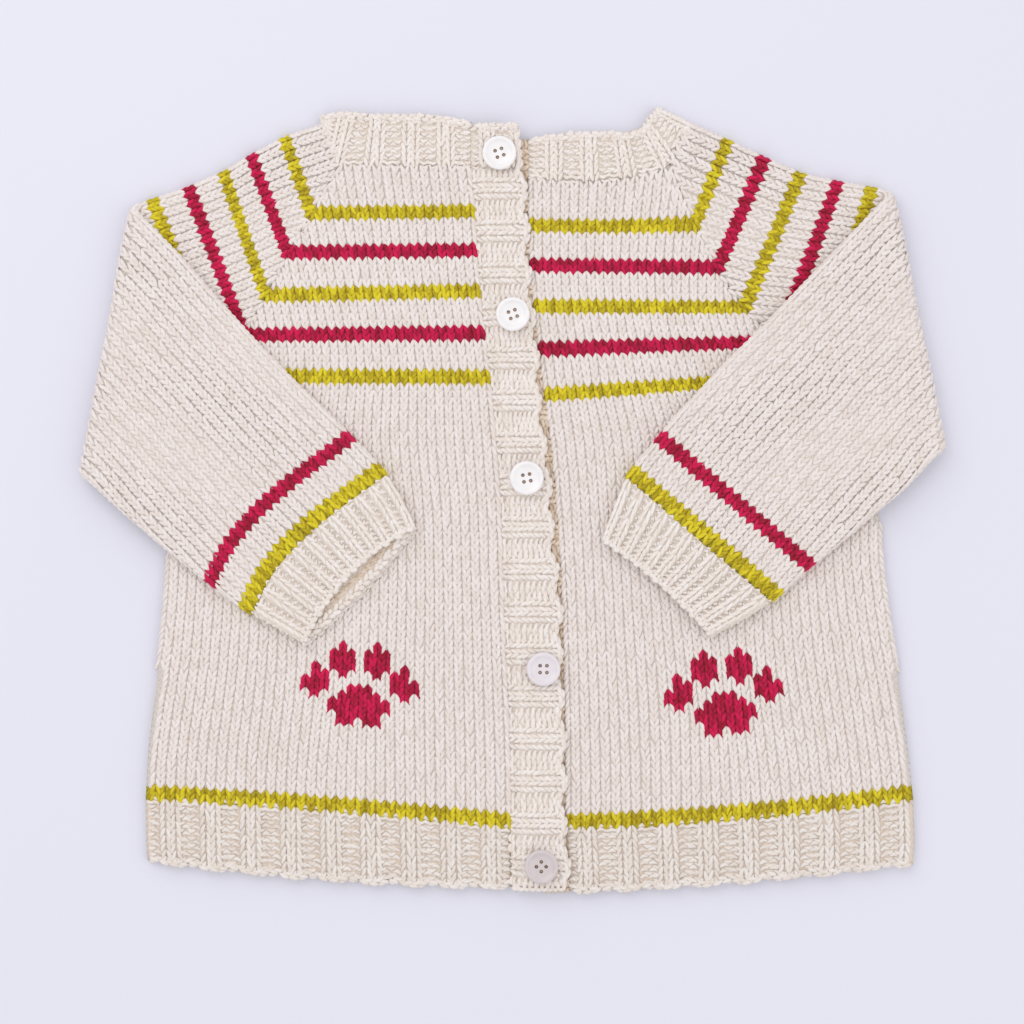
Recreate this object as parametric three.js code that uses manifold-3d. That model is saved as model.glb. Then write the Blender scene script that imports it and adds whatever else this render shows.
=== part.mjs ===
// Baby cardigan in hand-knit wool, laid flat with its front up and both sleeves folded in over it.
// Millimetres, +X to the wearer's left (the viewer's right), +Y to the neck, +Z up off the surface.
// The tables are measured from the middle of the layout; the group is moved to its own middle at the end.
import * as THREE from "three";
import { mergeVertices } from "three/addons/utils/BufferGeometryUtils.js";
import Module from "manifold-3d";

const wasm = await Module();
wasm.setup();

// Cloth and how the layers lie on each other
const CLOTH = 2.0; // thickness of the knit
const GAP = 0.3; // between layers and at seams
const LAYER = CLOTH + GAP; // from one layer's underside to the next
const FRONT_FLOOR = LAYER; // underside of the fronts, which lie on the back
const UPPER_FLOOR = 2 * LAYER; // underside of what lies on the fronts
const TUBE_TOP = LAYER + CLOTH; // top of a sleeve that lies flat on the surface
const FOLD_HEIGHT = TUBE_TOP + GAP / 2; // height that a folded sleeve turns about
const FOLD_LENGTH = 7.2; // length of sleeve taken up by the fold
const SEAM = GAP / 2 + 0.05; // half the space between two edges that are sewn together
const ROW_STEP = 4; // knit rows between two sections of a panel
const PANEL_COLUMNS = 6; // sections across a panel
const TUBE_COLUMNS = 5; // sections across one layer of a sleeve
const ARC_STEPS = 4; // facets round the folded edge of a tube
const FOLD_STEPS = 7; // facets round the fold of a sleeve

// Ribs: two knit, two purl on the welt, bands and neckband; one knit, one purl on the cuffs
const RIB_DEPTH = 0.6;
const RIB_FACETS = 4; // facets for each rib and its furrow
const HEM_RIB = 15.0; // from one rib to the next
const BAND_RIB = 15.2;
const NECK_RIB = 12.5;
const CUFF_RIBS = 12; // ribs across one layer of a cuff
const HEM_ROW = 94; // knit row where the welt starts
const LAST_ROW = 103; // cast-off row of the welt
const UNDERARM_ROW = 40;

// Fronts and their welts, by knit row: the raglan and side edge, the opening edge, and the sag between
const FRONT_RIGHT = [
  { row: 0, sideX: -62.6, sideY: 124.6, openX: -14.8, openY: 124.2, sag: 0 },
  { row: 7, sideX: -72.4, sideY: 107.3, openX: -13.3, openY: 108.0, sag: 0 },
  { row: 13, sideX: -81.0, sideY: 93.2, openX: -12.6, openY: 94.0, sag: 0 },
  { row: 19, sideX: -88.9, sideY: 77.8, openX: -11.5, openY: 79.2, sag: 0 },
  { row: 25, sideX: -96.5, sideY: 63.4, openX: -9.7, openY: 64.1, sag: 0 },
  { row: 31, sideX: -105.0, sideY: 48.7, openX: -7.9, openY: 48.2, sag: 0 },
  { row: 40, sideX: -120.2, sideY: 26.3, openX: -5.8, openY: 25.6, sag: 0 },
  { row: 50, sideX: -122.8, sideY: 2.2, openX: -4.0, openY: -0.4, sag: 0 },
  { row: 60, sideX: -124.6, sideY: -22.0, openX: -3.2, openY: -26.3, sag: 0 },
  { row: 75, sideX: -127.8, sideY: -58.0, openX: -1.6, openY: -65.2, sag: 0 },
  { row: 85, sideX: -130.7, sideY: -82.1, openX: -0.7, openY: -91.1, sag: -0.5 },
  { row: 94, sideX: -132.1, sideY: -103.7, openX: -0.4, openY: -114.1, sag: -1 },
  { row: 97, sideX: -132.1, sideY: -110.9, openX: -0.3, openY: -121.3, sag: 0.5 },
  { row: 100, sideX: -131.9, sideY: -118.1, openX: -0.1, openY: -128.5, sag: 2 },
  { row: 103, sideX: -131.4, sideY: -124.9, openX: 0.0, openY: -135.7, sag: 3.2 },
];
const FRONT_LEFT = [
  { row: 0, sideX: 57.6, sideY: 123.8, openX: 5.8, openY: 119.8, sag: 3 },
  { row: 7, sideX: 65.9, sideY: 103.3, openX: 6.1, openY: 103.0, sag: 0.5 },
  { row: 13, sideX: 74.2, sideY: 87.8, openX: 6.5, openY: 88.6, sag: 0 },
  { row: 19, sideX: 83.9, sideY: 73.4, openX: 7.9, openY: 73.8, sag: 0 },
  { row: 25, sideX: 96.5, sideY: 61.2, openX: 9.7, openY: 58.3, sag: 0 },
  { row: 31, sideX: 109.1, sideY: 49.0, openX: 11.9, openY: 41.8, sag: 0 },
  { row: 40, sideX: 126.4, sideY: 31.7, openX: 14.4, openY: 22.3, sag: 0 },
  { row: 50, sideX: 131.4, sideY: 6.1, openX: 16.6, openY: -2.9, sag: 0 },
  { row: 60, sideX: 133.9, sideY: -19.1, openX: 18.0, openY: -28.1, sag: 0 },
  { row: 75, sideX: 138.9, sideY: -56.2, openX: 19.1, openY: -67.0, sag: 0 },
  { row: 85, sideX: 142.1, sideY: -81.0, openX: 19.4, openY: -92.2, sag: 1 },
  { row: 94, sideX: 144.7, sideY: -103.7, openX: 19.4, openY: -114.1, sag: 2 },
  { row: 97, sideX: 145.1, sideY: -111.2, openX: 19.8, openY: -121.7, sag: 2.2 },
  { row: 100, sideX: 145.2, sideY: -118.8, openX: 20.2, openY: -129.2, sag: 2.5 },
  { row: 103, sideX: 144.7, sideY: -126.0, openX: 20.5, openY: -136.8, sag: 2.8 },
];
// How far the rows of the back hang below a straight line between its two edges
const BACK_SAG = [
  { row: 0, sag: 0.6 },
  { row: 40, sag: 4 },
  { row: 60, sag: 6 },
  { row: 94, sag: 9.5 },
  { row: 103, sag: 8.5 },
];

// Neckband: its seam to the yoke and its cast-off edge, from the opening to the fold at the shoulder
const NECK_RIGHT = [
  { seamX: -15.3, seamY: 124.9, edgeX: -15.3, edgeY: 140.4 },
  { seamX: -29.5, seamY: 124.9, edgeX: -29.5, edgeY: 142.9 },
  { seamX: -43.9, seamY: 125.0, edgeX: -43.2, edgeY: 143.0 },
  { seamX: -54.0, seamY: 125.1, edgeX: -51.5, edgeY: 143.2 },
  { seamX: -62.0, seamY: 125.4, edgeX: -57.5, edgeY: 143.8 },
  { seamX: -64.9, seamY: 129.8, edgeX: -61.8, edgeY: 143.9 },
  { seamX: -66.2, seamY: 134.0, edgeX: -64.6, edgeY: 143.5 },
  { seamX: -67.4, seamY: 138.0, edgeX: -66.9, edgeY: 142.6 },
];
const NECK_LEFT = [
  { seamX: 6.3, seamY: 120.7, edgeX: 6.3, edgeY: 134.2 },
  { seamX: 20.9, seamY: 119.6, edgeX: 20.9, edgeY: 136.4 },
  { seamX: 35.3, seamY: 120.2, edgeX: 33.8, edgeY: 136.8 },
  { seamX: 47.9, seamY: 122.2, edgeX: 43.6, edgeY: 136.6 },
  { seamX: 54.7, seamY: 124.3, edgeX: 47.2, edgeY: 138.6 },
  { seamX: 58.9, seamY: 127.5, edgeX: 48.8, edgeY: 141.2 },
  { seamX: 61.5, seamY: 132.5, edgeX: 50.4, edgeY: 143.2 },
  { seamX: 63.8, seamY: 138.4, edgeX: 51.8, edgeY: 144.2 },
];
const NECK_BACK = [
  { seamX: -67.4, seamY: 138.0, edgeX: -66.9, edgeY: 142.6 },
  { seamX: -65.0, seamY: 130.4, edgeX: -62.6, edgeY: 143.4 },
  { seamX: -62.4, seamY: 125.7, edgeX: -56.0, edgeY: 143.2 },
  { seamX: -48.0, seamY: 124.9, edgeX: -44.0, edgeY: 142.6 },
  { seamX: -25.0, seamY: 124.5, edgeX: -25.0, edgeY: 141.4 },
  { seamX: 0.0, seamY: 124.1, edgeX: 0.0, edgeY: 137.8 },
  { seamX: 24.0, seamY: 124.0, edgeX: 20.0, edgeY: 136.6 },
  { seamX: 46.0, seamY: 124.2, edgeX: 38.0, edgeY: 136.8 },
  { seamX: 58.4, seamY: 125.9, edgeX: 46.6, edgeY: 139.0 },
  { seamX: 61.2, seamY: 132.0, edgeX: 49.8, edgeY: 142.8 },
  { seamX: 63.8, seamY: 138.4, edgeX: 51.8, edgeY: 144.2 },
];

// Sleeve yokes, by knit row: the folded shoulder edge, matched with the raglan edge of the front
const SLEEVE_RIGHT_YOKE = [
  { row: 0, shoulderX: -70.0, shoulderY: 139.6 },
  { row: 7, shoulderX: -79.9, shoulderY: 136.4 },
  { row: 13, shoulderX: -90.0, shoulderY: 131.4 },
  { row: 19, shoulderX: -99.4, shoulderY: 125.6 },
  { row: 25, shoulderX: -108.0, shoulderY: 120.6 },
  { row: 31, shoulderX: -115.9, shoulderY: 117.7 },
  { row: 40, shoulderX: -125.6, shoulderY: 114.6 },
];
const SLEEVE_LEFT_YOKE = [
  { row: 0, shoulderX: 66.0, shoulderY: 139.8 },
  { row: 7, shoulderX: 74.6, shoulderY: 136.4 },
  { row: 13, shoulderX: 84.2, shoulderY: 130.7 },
  { row: 19, shoulderX: 94.0, shoulderY: 126.7 },
  { row: 25, shoulderX: 103.7, shoulderY: 122.4 },
  { row: 31, shoulderX: 113.0, shoulderY: 120.2 },
  { row: 40, shoulderX: 124.6, shoulderY: 118.4 },
];
// Sleeves past the fold, where they lie on the fronts: the upper and lower edge, down to the cuff
const SLEEVE_RIGHT_FOLDED = [
  { upperX: -119.5, upperY: 92.9, lowerX: -139.3, lowerY: -0.4 },
  { upperX: -104.4, upperY: 75.6, lowerX: -127.4, lowerY: -10.8 },
  { upperX: -90.0, upperY: 60.1, lowerX: -118.1, lowerY: -18.4 },
  { upperX: -74.5, upperY: 44.3, lowerX: -110.9, lowerY: -24.5 },
  { upperX: -60.1, upperY: 30.2, lowerX: -104.4, lowerY: -29.5 },
  { upperX: -44.6, upperY: 14.0, lowerX: -93.8, lowerY: -37.1 },
];
const SLEEVE_LEFT_FOLDED = [
  { upperX: 121.0, upperY: 99.4, lowerX: 141.5, lowerY: 9.0 },
  { upperX: 105.8, upperY: 83.5, lowerX: 129.6, lowerY: -1.1 },
  { upperX: 91.1, upperY: 68.4, lowerX: 121.3, lowerY: -8.3 },
  { upperX: 75.8, upperY: 53.6, lowerX: 114.5, lowerY: -14.0 },
  { upperX: 57.6, upperY: 33.8, lowerX: 108.0, lowerY: -19.4 },
  { upperX: 40.6, upperY: 12.9, lowerX: 93.8, lowerY: -32.4 },
];
const CUFF_RIGHT = [
  { upperX: -44.2, upperY: 13.5, lowerX: -93.3, lowerY: -37.5 },
  { upperX: -39.6, upperY: 6.1, lowerX: -86.9, lowerY: -41.2 },
  { upperX: -36.4, upperY: -0.2, lowerX: -80.8, lowerY: -44.6 },
  { upperX: -34.5, upperY: -4.8, lowerX: -75.3, lowerY: -47.8 },
];
const CUFF_LEFT = [
  { upperX: 40.2, upperY: 12.5, lowerX: 93.2, lowerY: -33.0 },
  { upperX: 36.4, upperY: 2.5, lowerX: 85.7, lowerY: -37.8 },
  { upperX: 33.8, upperY: -4.3, lowerX: 78.5, lowerY: -41.8 },
  { upperX: 32.0, upperY: -9.4, lowerX: 72.4, lowerY: -45.0 },
];
const CUFF_SECTIONS = 4; // lengths of cuff between its seam and its edge
const CUFF_SEAM = 0.35; // space between the sleeve and its cuff
// how far the seam and the edge of each cuff's lower and upper layer reach out in their middle
const BOWS_RIGHT = { seam: -5.4, lowerLayer: 2.0, upperLayer: -5.5 };
const BOWS_LEFT = { seam: 0, lowerLayer: -2.0, upperLayer: -2.0 };
const BOW_GROWTH = [0, 0, 0.2, 0.7, 1, 1]; // part of the seam's bow at each row of a folded table

// Fold of each sleeve: where the fold line meets the shoulder edge and the underarm edge,
// and the way those two edges run on from there before folding
const FOLD_RIGHT = {
  shoulder: [-132.8, 112.3],
  underarm: [-151.2, 14.4],
  shoulderRun: [-0.919, -0.394],
  underarmRun: [-0.965, -0.263],
};
const FOLD_LEFT = {
  shoulder: [132.8, 117.0],
  underarm: [151.9, 23.4],
  shoulderRun: [0.945, -0.327],
  underarmRun: [0.98, -0.2],
};

// Front bands: the free edge of the buttonhole band, on top, by height up the front
const BUTTONHOLE_EDGE = [
  { y: 139.3, x: 2.9 },
  { y: 119.5, x: 4.7 },
  { y: 90.7, x: 6.5 },
  { y: 65.5, x: 8.3 },
  { y: 40.3, x: 10.6 },
  { y: 11.5, x: 13.5 },
  { y: -31.7, x: 17.3 },
  { y: -67.7, x: 18.6 },
  { y: -110.9, x: 19.8 },
  { y: -135.9, x: 20.5 },
];
const BAND_TOP = 139.3;
const BAND_BOTTOM = -135.9;
const UNDER_BAND_TOP = 134.4;
const UNDER_BAND_BOTTOM = -136.6;
const BAND_SECTIONS = [0, 0.07, 0.15, 0.24, 1]; // across the band, from its seam
const RAMP_START = 1.0; // the band leaves the front's level this far from its seam
const RAMP_END = 4.0; // and lies on the band below from here on
const UNDER_BAND_INSET = 4.8; // free edge of the lower band, from the upper band's seam

// Buttons: centre, and the turn of the four holes in degrees
const BUTTONS = [
  { x: -4.5, y: 128.7, turn: 20 },
  { x: 0.3, y: 70.9, turn: 20 },
  { x: 5.3, y: 12.2, turn: 10 },
  { x: 11.3, y: -56.3, turn: 0 },
  { x: 10.5, y: -127.1, turn: 45 },
];
const BUTTON_RADIUS = 6.1;
const BUTTON_FACETS = 20;
const BUTTON_FLOOR = UPPER_FLOOR + CLOTH + GAP;
const BUTTON_HOLE_RADIUS = 0.65;
const BUTTON_HOLE_OFFSET = 1.25; // of a hole's centre, along each axis
const BUTTON_HOLE_SIDES = 6;
// Profile of a button, from the middle of its underside over the raised rim to the dished face
const BUTTON_PROFILE = [
  { r: 0, z: 0 },
  { r: 4.6, z: 0 },
  { r: 5.8, z: 0.7 },
  { r: BUTTON_RADIUS, z: 1.5 },
  { r: 5.8, z: 2.2 },
  { r: 5.2, z: 2.4 },
  { r: 4.6, z: 2.2 },
  { r: 3.6, z: 1.6 },
  { r: 0, z: 1.4 },
];

// Materials
const CREAM_WOOL = { color: 0xebe1d7, roughness: 0.95, metalness: 0 };
const CREAM_RIB = { color: 0xe9dcc8, roughness: 0.95, metalness: 0 };
const PEARL = { color: 0xf1f0f4, roughness: 0.25, metalness: 0 };

const group = new THREE.Group();
group.name = "baby_cardigan";

function lerp(a, b, t) {
  return a + (b - a) * t;
}

function smoothstep(t) {
  const c = Math.min(1, Math.max(0, t));
  return c * c * (3 - 2 * c);
}

// Value of one column of a table at a place between its rows, on a smooth curve through them
function at(table, key, place, column) {
  const last = table.length - 1;
  const rising = table[last][key] > table[0][key];
  let i = 0;
  while (i < last - 1 && (rising ? place > table[i + 1][key] : place < table[i + 1][key])) {
    i += 1;
  }
  const slope = (a, b) => (table[b][column] - table[a][column]) / (table[b][key] - table[a][key]);
  const width = table[i + 1][key] - table[i][key];
  const t = Math.min(1, Math.max(0, (place - table[i][key]) / width));
  const m0 = i > 0 ? slope(i - 1, i + 1) : slope(0, 1);
  const m1 = i + 2 <= last ? slope(i, i + 2) : slope(last - 1, last);
  const a = table[i][column];
  const b = table[i + 1][column];
  const h = t * t * (3 - 2 * t);
  const g = t * (1 - t);
  return a + (b - a) * h + width * g * ((1 - t) * m0 - t * m1);
}

// Evenly spaced places from first to last, no further apart than step
function places(first, last, step) {
  const count = Math.max(1, Math.round(Math.abs(last - first) / step));
  return Array.from({ length: count + 1 }, (_, i) => lerp(first, last, i / count));
}

// How far a furrow lies below its ribs, where ribs are pitch apart
function furrow(distance, pitch) {
  return (RIB_DEPTH / 2) * (1 - Math.cos((2 * Math.PI * distance) / pitch));
}

function addMesh(name, geometry, look) {
  geometry.computeVertexNormals();
  const mesh = new THREE.Mesh(geometry, new THREE.MeshStandardMaterial(look));
  mesh.name = name;
  group.add(mesh);
}

// Cloth as a closed wall: outer and inner points on a grid of rows and columns, the cells of it
// that are cloth, and walls round every edge of those cells. Round tubes wrap their columns.
function addCloth(name, look, { rows, columns, outer, inner, isCloth = () => true, wraps = false }) {
  const points = [];
  for (const face of [outer, inner]) {
    for (let i = 0; i < rows; i += 1) {
      for (let j = 0; j < columns; j += 1) {
        points.push(...face(i, j));
      }
    }
  }
  const cellColumns = wraps ? columns : columns - 1;
  const index = (i, j, face) => (face * rows + i) * columns + (j % columns);
  const filled = (i, j) => {
    const column = wraps ? (j + columns) % columns : j;
    return i >= 0 && i < rows - 1 && column >= 0 && column < cellColumns && isCloth(i, column);
  };
  const triangles = [];
  const quad = (a, b, c, d) => triangles.push(a, b, c, a, c, d);
  for (let i = 0; i < rows - 1; i += 1) {
    for (let j = 0; j < cellColumns; j += 1) {
      if (!filled(i, j)) {
        continue;
      }
      const corners = [[i, j], [i + 1, j], [i + 1, j + 1], [i, j + 1]];
      const neighbours = [filled(i, j - 1), filled(i + 1, j), filled(i, j + 1), filled(i - 1, j)];
      const [a, b, c, d] = corners.map(([p, q]) => index(p, q, 0));
      const [e, f, g, h] = corners.map(([p, q]) => index(p, q, 1));
      quad(a, b, c, d);
      quad(h, g, f, e);
      const out = [a, b, c, d];
      const back = [e, f, g, h];
      neighbours.forEach((joined, k) => {
        if (!joined) {
          const n = (k + 1) % 4;
          quad(out[n], out[k], back[k], back[n]);
        }
      });
    }
  }
  const volume = signedVolume(points, triangles);
  if (volume < 0) {
    for (let i = 0; i < triangles.length; i += 3) {
      [triangles[i], triangles[i + 1]] = [triangles[i + 1], triangles[i]];
    }
  }
  const used = [...new Set(triangles)];
  const renumbered = new Map(used.map((old, k) => [old, k]));
  const geometry = new THREE.BufferGeometry();
  const kept = used.flatMap((old) => points.slice(3 * old, 3 * old + 3));
  geometry.setAttribute("position", new THREE.Float32BufferAttribute(kept, 3));
  geometry.setIndex(triangles.map((old) => renumbered.get(old)));
  addMesh(name, geometry, look);
}

function signedVolume(points, triangles) {
  const corner = (k) => new THREE.Vector3().fromArray(points, 3 * k);
  let sum = 0;
  for (let i = 0; i < triangles.length; i += 3) {
    const [a, b, c] = triangles.slice(i, i + 3).map(corner);
    sum += a.dot(b.cross(c));
  }
  return sum / 6;
}

// Back panel and welt, which lie on the surface
function backPoint(row, u, trim, z) {
  const x = lerp(at(FRONT_RIGHT, "row", row, "sideX"), at(FRONT_LEFT, "row", row, "sideX"), u);
  const y = lerp(at(FRONT_RIGHT, "row", row, "sideY"), at(FRONT_LEFT, "row", row, "sideY"), u);
  return [x, y - 4 * u * (1 - u) * at(BACK_SAG, "row", row, "sag") + trim, z];
}

// Rows of a panel that get a section, with one at the underarm, where its edge turns
function panelRows(firstRow, lastRow) {
  if (firstRow >= UNDERARM_ROW) {
    return places(firstRow, lastRow, ROW_STEP);
  }
  const yoke = places(firstRow, UNDERARM_ROW, ROW_STEP);
  return [...yoke, ...places(UNDERARM_ROW, lastRow, ROW_STEP).slice(1)];
}

function addPanel(name, look, firstRow, lastRow, columns, point, floor, depthAt) {
  const stations = panelRows(firstRow, lastRow);
  const trim = (i) => (i === 0 ? -SEAM : i === stations.length - 1 ? SEAM : 0);
  addCloth(name, look, {
    rows: stations.length,
    columns: columns + 1,
    outer: (i, j) => point(stations[i], j / columns, trim(i), floor + CLOTH - depthAt(j / columns)),
    inner: (i, j) => point(stations[i], j / columns, trim(i), floor),
  });
}

addPanel("back", CREAM_WOOL, 0, HEM_ROW, PANEL_COLUMNS, backPoint, 0, () => 0);
addPanel("hem_back", CREAM_RIB, HEM_ROW, LAST_ROW, PANEL_COLUMNS, backPoint, 0, () => 0);

// Fronts and their ribbed welts, on the back
function frontPoint(table) {
  return (row, u, trim, z) => {
    const x = lerp(at(table, "row", row, "sideX"), at(table, "row", row, "openX"), u);
    const y = lerp(at(table, "row", row, "sideY"), at(table, "row", row, "openY"), u);
    return [x, y - 4 * u * (1 - u) * at(table, "row", row, "sag") + trim, z];
  };
}

for (const [side, table] of [["right", FRONT_RIGHT], ["left", FRONT_LEFT]]) {
  const width = Math.abs(at(table, "row", HEM_ROW, "sideX") - at(table, "row", HEM_ROW, "openX"));
  const ribs = Math.round(width / HEM_RIB);
  const point = frontPoint(table);
  const depth = (u) => furrow(u * ribs, 1);
  addPanel(`front_${side}`, CREAM_WOOL, 0, HEM_ROW, PANEL_COLUMNS, point, FRONT_FLOOR, () => 0);
  addPanel(`hem_front_${side}`, CREAM_RIB, HEM_ROW, LAST_ROW, ribs * RIB_FACETS, point, FRONT_FLOOR, depth);
}

// Neckband: one strip, from the right opening over both shoulder folds to the left opening
function neckStations() {
  const list = [];
  const layer = (table, turn, order) => {
    const rows = order > 0 ? table : [...table].reverse();
    for (const row of rows) {
      list.push({ ...row, turn, side: 0 });
    }
  };
  const fold = (row, fromTurn, side) => {
    for (let k = 1; k < ARC_STEPS; k += 1) {
      const turn = lerp(fromTurn, Math.PI - fromTurn, k / ARC_STEPS);
      list.push({ ...row, turn, side });
    }
  };
  layer(NECK_RIGHT, 0, 1);
  fold(NECK_RIGHT[NECK_RIGHT.length - 1], 0, -1);
  layer(NECK_BACK, Math.PI, 1);
  fold(NECK_LEFT[NECK_LEFT.length - 1], Math.PI, 1);
  layer(NECK_LEFT, 0, -1);
  return list;
}

// The strip's stations with more between them, so that each rib has its facets
function neckPath() {
  const stations = neckStations();
  const path = [];
  const middle = (s) => new THREE.Vector2((s.seamX + s.edgeX) / 2, (s.seamY + s.edgeY) / 2);
  let run = 0;
  stations.forEach((s, k) => {
    const next = stations[k + 1];
    path.push({ ...s, run });
    if (!next) {
      return;
    }
    const length = middle(s).distanceTo(middle(next));
    const steps = Math.max(1, Math.round((length * RIB_FACETS) / NECK_RIB));
    const flat = s.side === 0 && next.side === 0;
    for (let m = 1; flat && m < steps; m += 1) {
      const between = { turn: s.turn, side: 0, run: run + (length * m) / steps };
      for (const key of ["seamX", "seamY", "edgeX", "edgeY"]) {
        between[key] = lerp(s[key], next[key], m / steps);
      }
      path.push(between);
    }
    run += flat ? length : (Math.PI * TUBE_TOP) / 2 / ARC_STEPS;
  });
  return path;
}

function neckPoint(s, v, depth) {
  const x = lerp(s.seamX, s.edgeX, v);
  const y = lerp(s.seamY, s.edgeY, v);
  const along = new THREE.Vector2(s.edgeX - s.seamX, s.edgeY - s.seamY).normalize();
  const radius = TUBE_TOP / 2 - depth;
  const out = s.side * radius * Math.sin(s.turn);
  return [x + along.y * out, y - along.x * out, TUBE_TOP / 2 + radius * Math.cos(s.turn)];
}

const neckband = neckPath();
const NECK_SECTIONS = 2; // across the neckband
addCloth("neckband", CREAM_RIB, {
  rows: neckband.length,
  columns: NECK_SECTIONS + 1,
  outer: (i, j) => {
    const s = neckband[i];
    const ribbed = s.turn < Math.PI / 2 ? furrow(s.run, NECK_RIB) : 0;
    return neckPoint(s, j / NECK_SECTIONS, ribbed);
  },
  inner: (i, j) => neckPoint(neckband[i], j / NECK_SECTIONS, CLOTH),
});

// Sleeves: a flat tube, open at the raglan edges, worked out unfolded and then folded over
function foldFrame(fold) {
  const start = new THREE.Vector2(...fold.shoulder);
  const end = new THREE.Vector2(...fold.underarm);
  const along = end.clone().sub(start).normalize();
  const out = new THREE.Vector2(along.y, -along.x);
  if (out.dot(new THREE.Vector2(...fold.shoulderRun)) < 0) {
    out.negate();
  }
  return { start, end, out };
}

// A point of the tube at its height, carried round the fold: a half turn about FOLD_HEIGHT
function folded(point, z, frame) {
  const past = point.clone().sub(frame.start).dot(frame.out);
  if (past <= 0) {
    return [point.x, point.y, z];
  }
  const lever = FOLD_HEIGHT - z;
  if (past >= FOLD_LENGTH) {
    const place = point.clone().addScaledVector(frame.out, FOLD_LENGTH - 2 * past);
    return [place.x, place.y, FOLD_HEIGHT + lever];
  }
  const turn = (Math.PI * past) / FOLD_LENGTH;
  const place = point.clone().addScaledVector(frame.out, lever * Math.sin(turn) - past);
  return [place.x, place.y, FOLD_HEIGHT - lever * Math.cos(turn)];
}

// Where a point that lies on the front was before the sleeve was folded
function unfolded(x, y, frame) {
  const point = new THREE.Vector2(x, y);
  const past = point.clone().sub(frame.start).dot(frame.out);
  return point.addScaledVector(frame.out, FOLD_LENGTH - 2 * past);
}

// How far across a tube its seam bows, as part of the whole bow: most below the middle
function seamBow(w) {
  return 4 * w * (1 - w) * (1.45 - 0.9 * w);
}

// Sections of a sleeve, unfolded, each from its lower (raglan or underarm) edge to its upper edge
function sleeveSections(front, yoke, foldedTable, fold, frame, outward) {
  const sections = [];
  for (const row of places(0, UNDERARM_ROW, ROW_STEP)) {
    const x = at(front, "row", row, "sideX") + outward * (GAP + 0.1);
    const lower = new THREE.Vector2(x, at(front, "row", row, "sideY"));
    const shoulder = ["shoulderX", "shoulderY"].map((key) => at(yoke, "row", row, key));
    sections.push({ lower, upper: new THREE.Vector2(...shoulder) });
  }
  const underarm = sections[sections.length - 1];
  underarm.lower.x += outward * 0.4;
  underarm.lower.y += 0.4;
  const turned = { lower: frame.end.clone(), upper: frame.start.clone() };
  for (const t of [1 / 3, 2 / 3]) {
    sections.push({
      lower: underarm.lower.clone().lerp(turned.lower, t),
      upper: underarm.upper.clone().lerp(turned.upper, t),
    });
  }
  const upperRun = new THREE.Vector2(...fold.shoulderRun);
  const lowerRun = new THREE.Vector2(...fold.underarmRun);
  for (const past of places(0, FOLD_LENGTH, FOLD_LENGTH / FOLD_STEPS)) {
    sections.push({
      lower: turned.lower.clone().addScaledVector(lowerRun, past / lowerRun.dot(frame.out)),
      upper: turned.upper.clone().addScaledVector(upperRun, past / upperRun.dot(frame.out)),
    });
  }
  for (const [k, row] of foldedTable.entries()) {
    sections.push({
      lower: unfolded(row.lowerX, row.lowerY, frame),
      upper: unfolded(row.upperX, row.upperY, frame),
      growth: BOW_GROWTH[k],
    });
  }
  return sections;
}

// Columns round a flat tube: the front layer from lower to upper edge, the upper fold,
// the back layer to the lower edge, and the lower fold
function tubeColumns(across) {
  const columns = [];
  for (let k = 0; k <= across; k += 1) {
    columns.push({ w: k / across, turn: 0, edge: 0 });
  }
  for (let k = 1; k < ARC_STEPS; k += 1) {
    columns.push({ w: 1, turn: (Math.PI * k) / ARC_STEPS, edge: 1 });
  }
  for (let k = across; k >= 0; k -= 1) {
    columns.push({ w: k / across, turn: Math.PI, edge: 0 });
  }
  for (let k = 1; k < ARC_STEPS; k += 1) {
    columns.push({ w: 0, turn: Math.PI - (Math.PI * k) / ARC_STEPS, edge: -1 });
  }
  return columns;
}

// A point of a flat tube, depth below its outer face, before folding
function tubePoint(section, column, depth, open) {
  const across = section.upper.clone().sub(section.lower);
  const length = across.length();
  across.divideScalar(length);
  const rounding = TUBE_TOP / 2;
  const from = open ? 0 : rounding;
  const flat = lerp(from, length - rounding, column.w);
  const radius = rounding - depth;
  const place = flat + column.edge * radius * Math.sin(column.turn);
  return {
    point: section.lower.clone().addScaledVector(across, place),
    z: rounding + radius * Math.cos(column.turn),
  };
}

// Middle of a section of a tube
function middleOf(section) {
  return section.lower.clone().add(section.upper).multiplyScalar(0.5);
}

function addSleeve(name, sections, bows, frame) {
  const columns = tubeColumns(TUBE_COLUMNS);
  const [before, last] = sections.slice(-2).map(middleOf);
  const run = last.sub(before).normalize();
  const closedFrom = places(0, UNDERARM_ROW, ROW_STEP).length - 1;
  const openColumns = columns.length - ARC_STEPS;
  const place = (i, j, depth) => {
    const { point, z } = tubePoint(sections[i], columns[j], depth, i < closedFrom);
    const bow = bows.seam * seamBow(columns[j].w) * (sections[i].growth ?? 0);
    return folded(point.addScaledVector(run, bow), z, frame);
  };
  addCloth(name, CREAM_WOOL, {
    rows: sections.length,
    columns: columns.length,
    outer: (i, j) => place(i, j, 0),
    inner: (i, j) => place(i, j, CLOTH),
    isCloth: (i, j) => i >= closedFrom || j < openColumns,
    wraps: true,
  });
}

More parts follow.
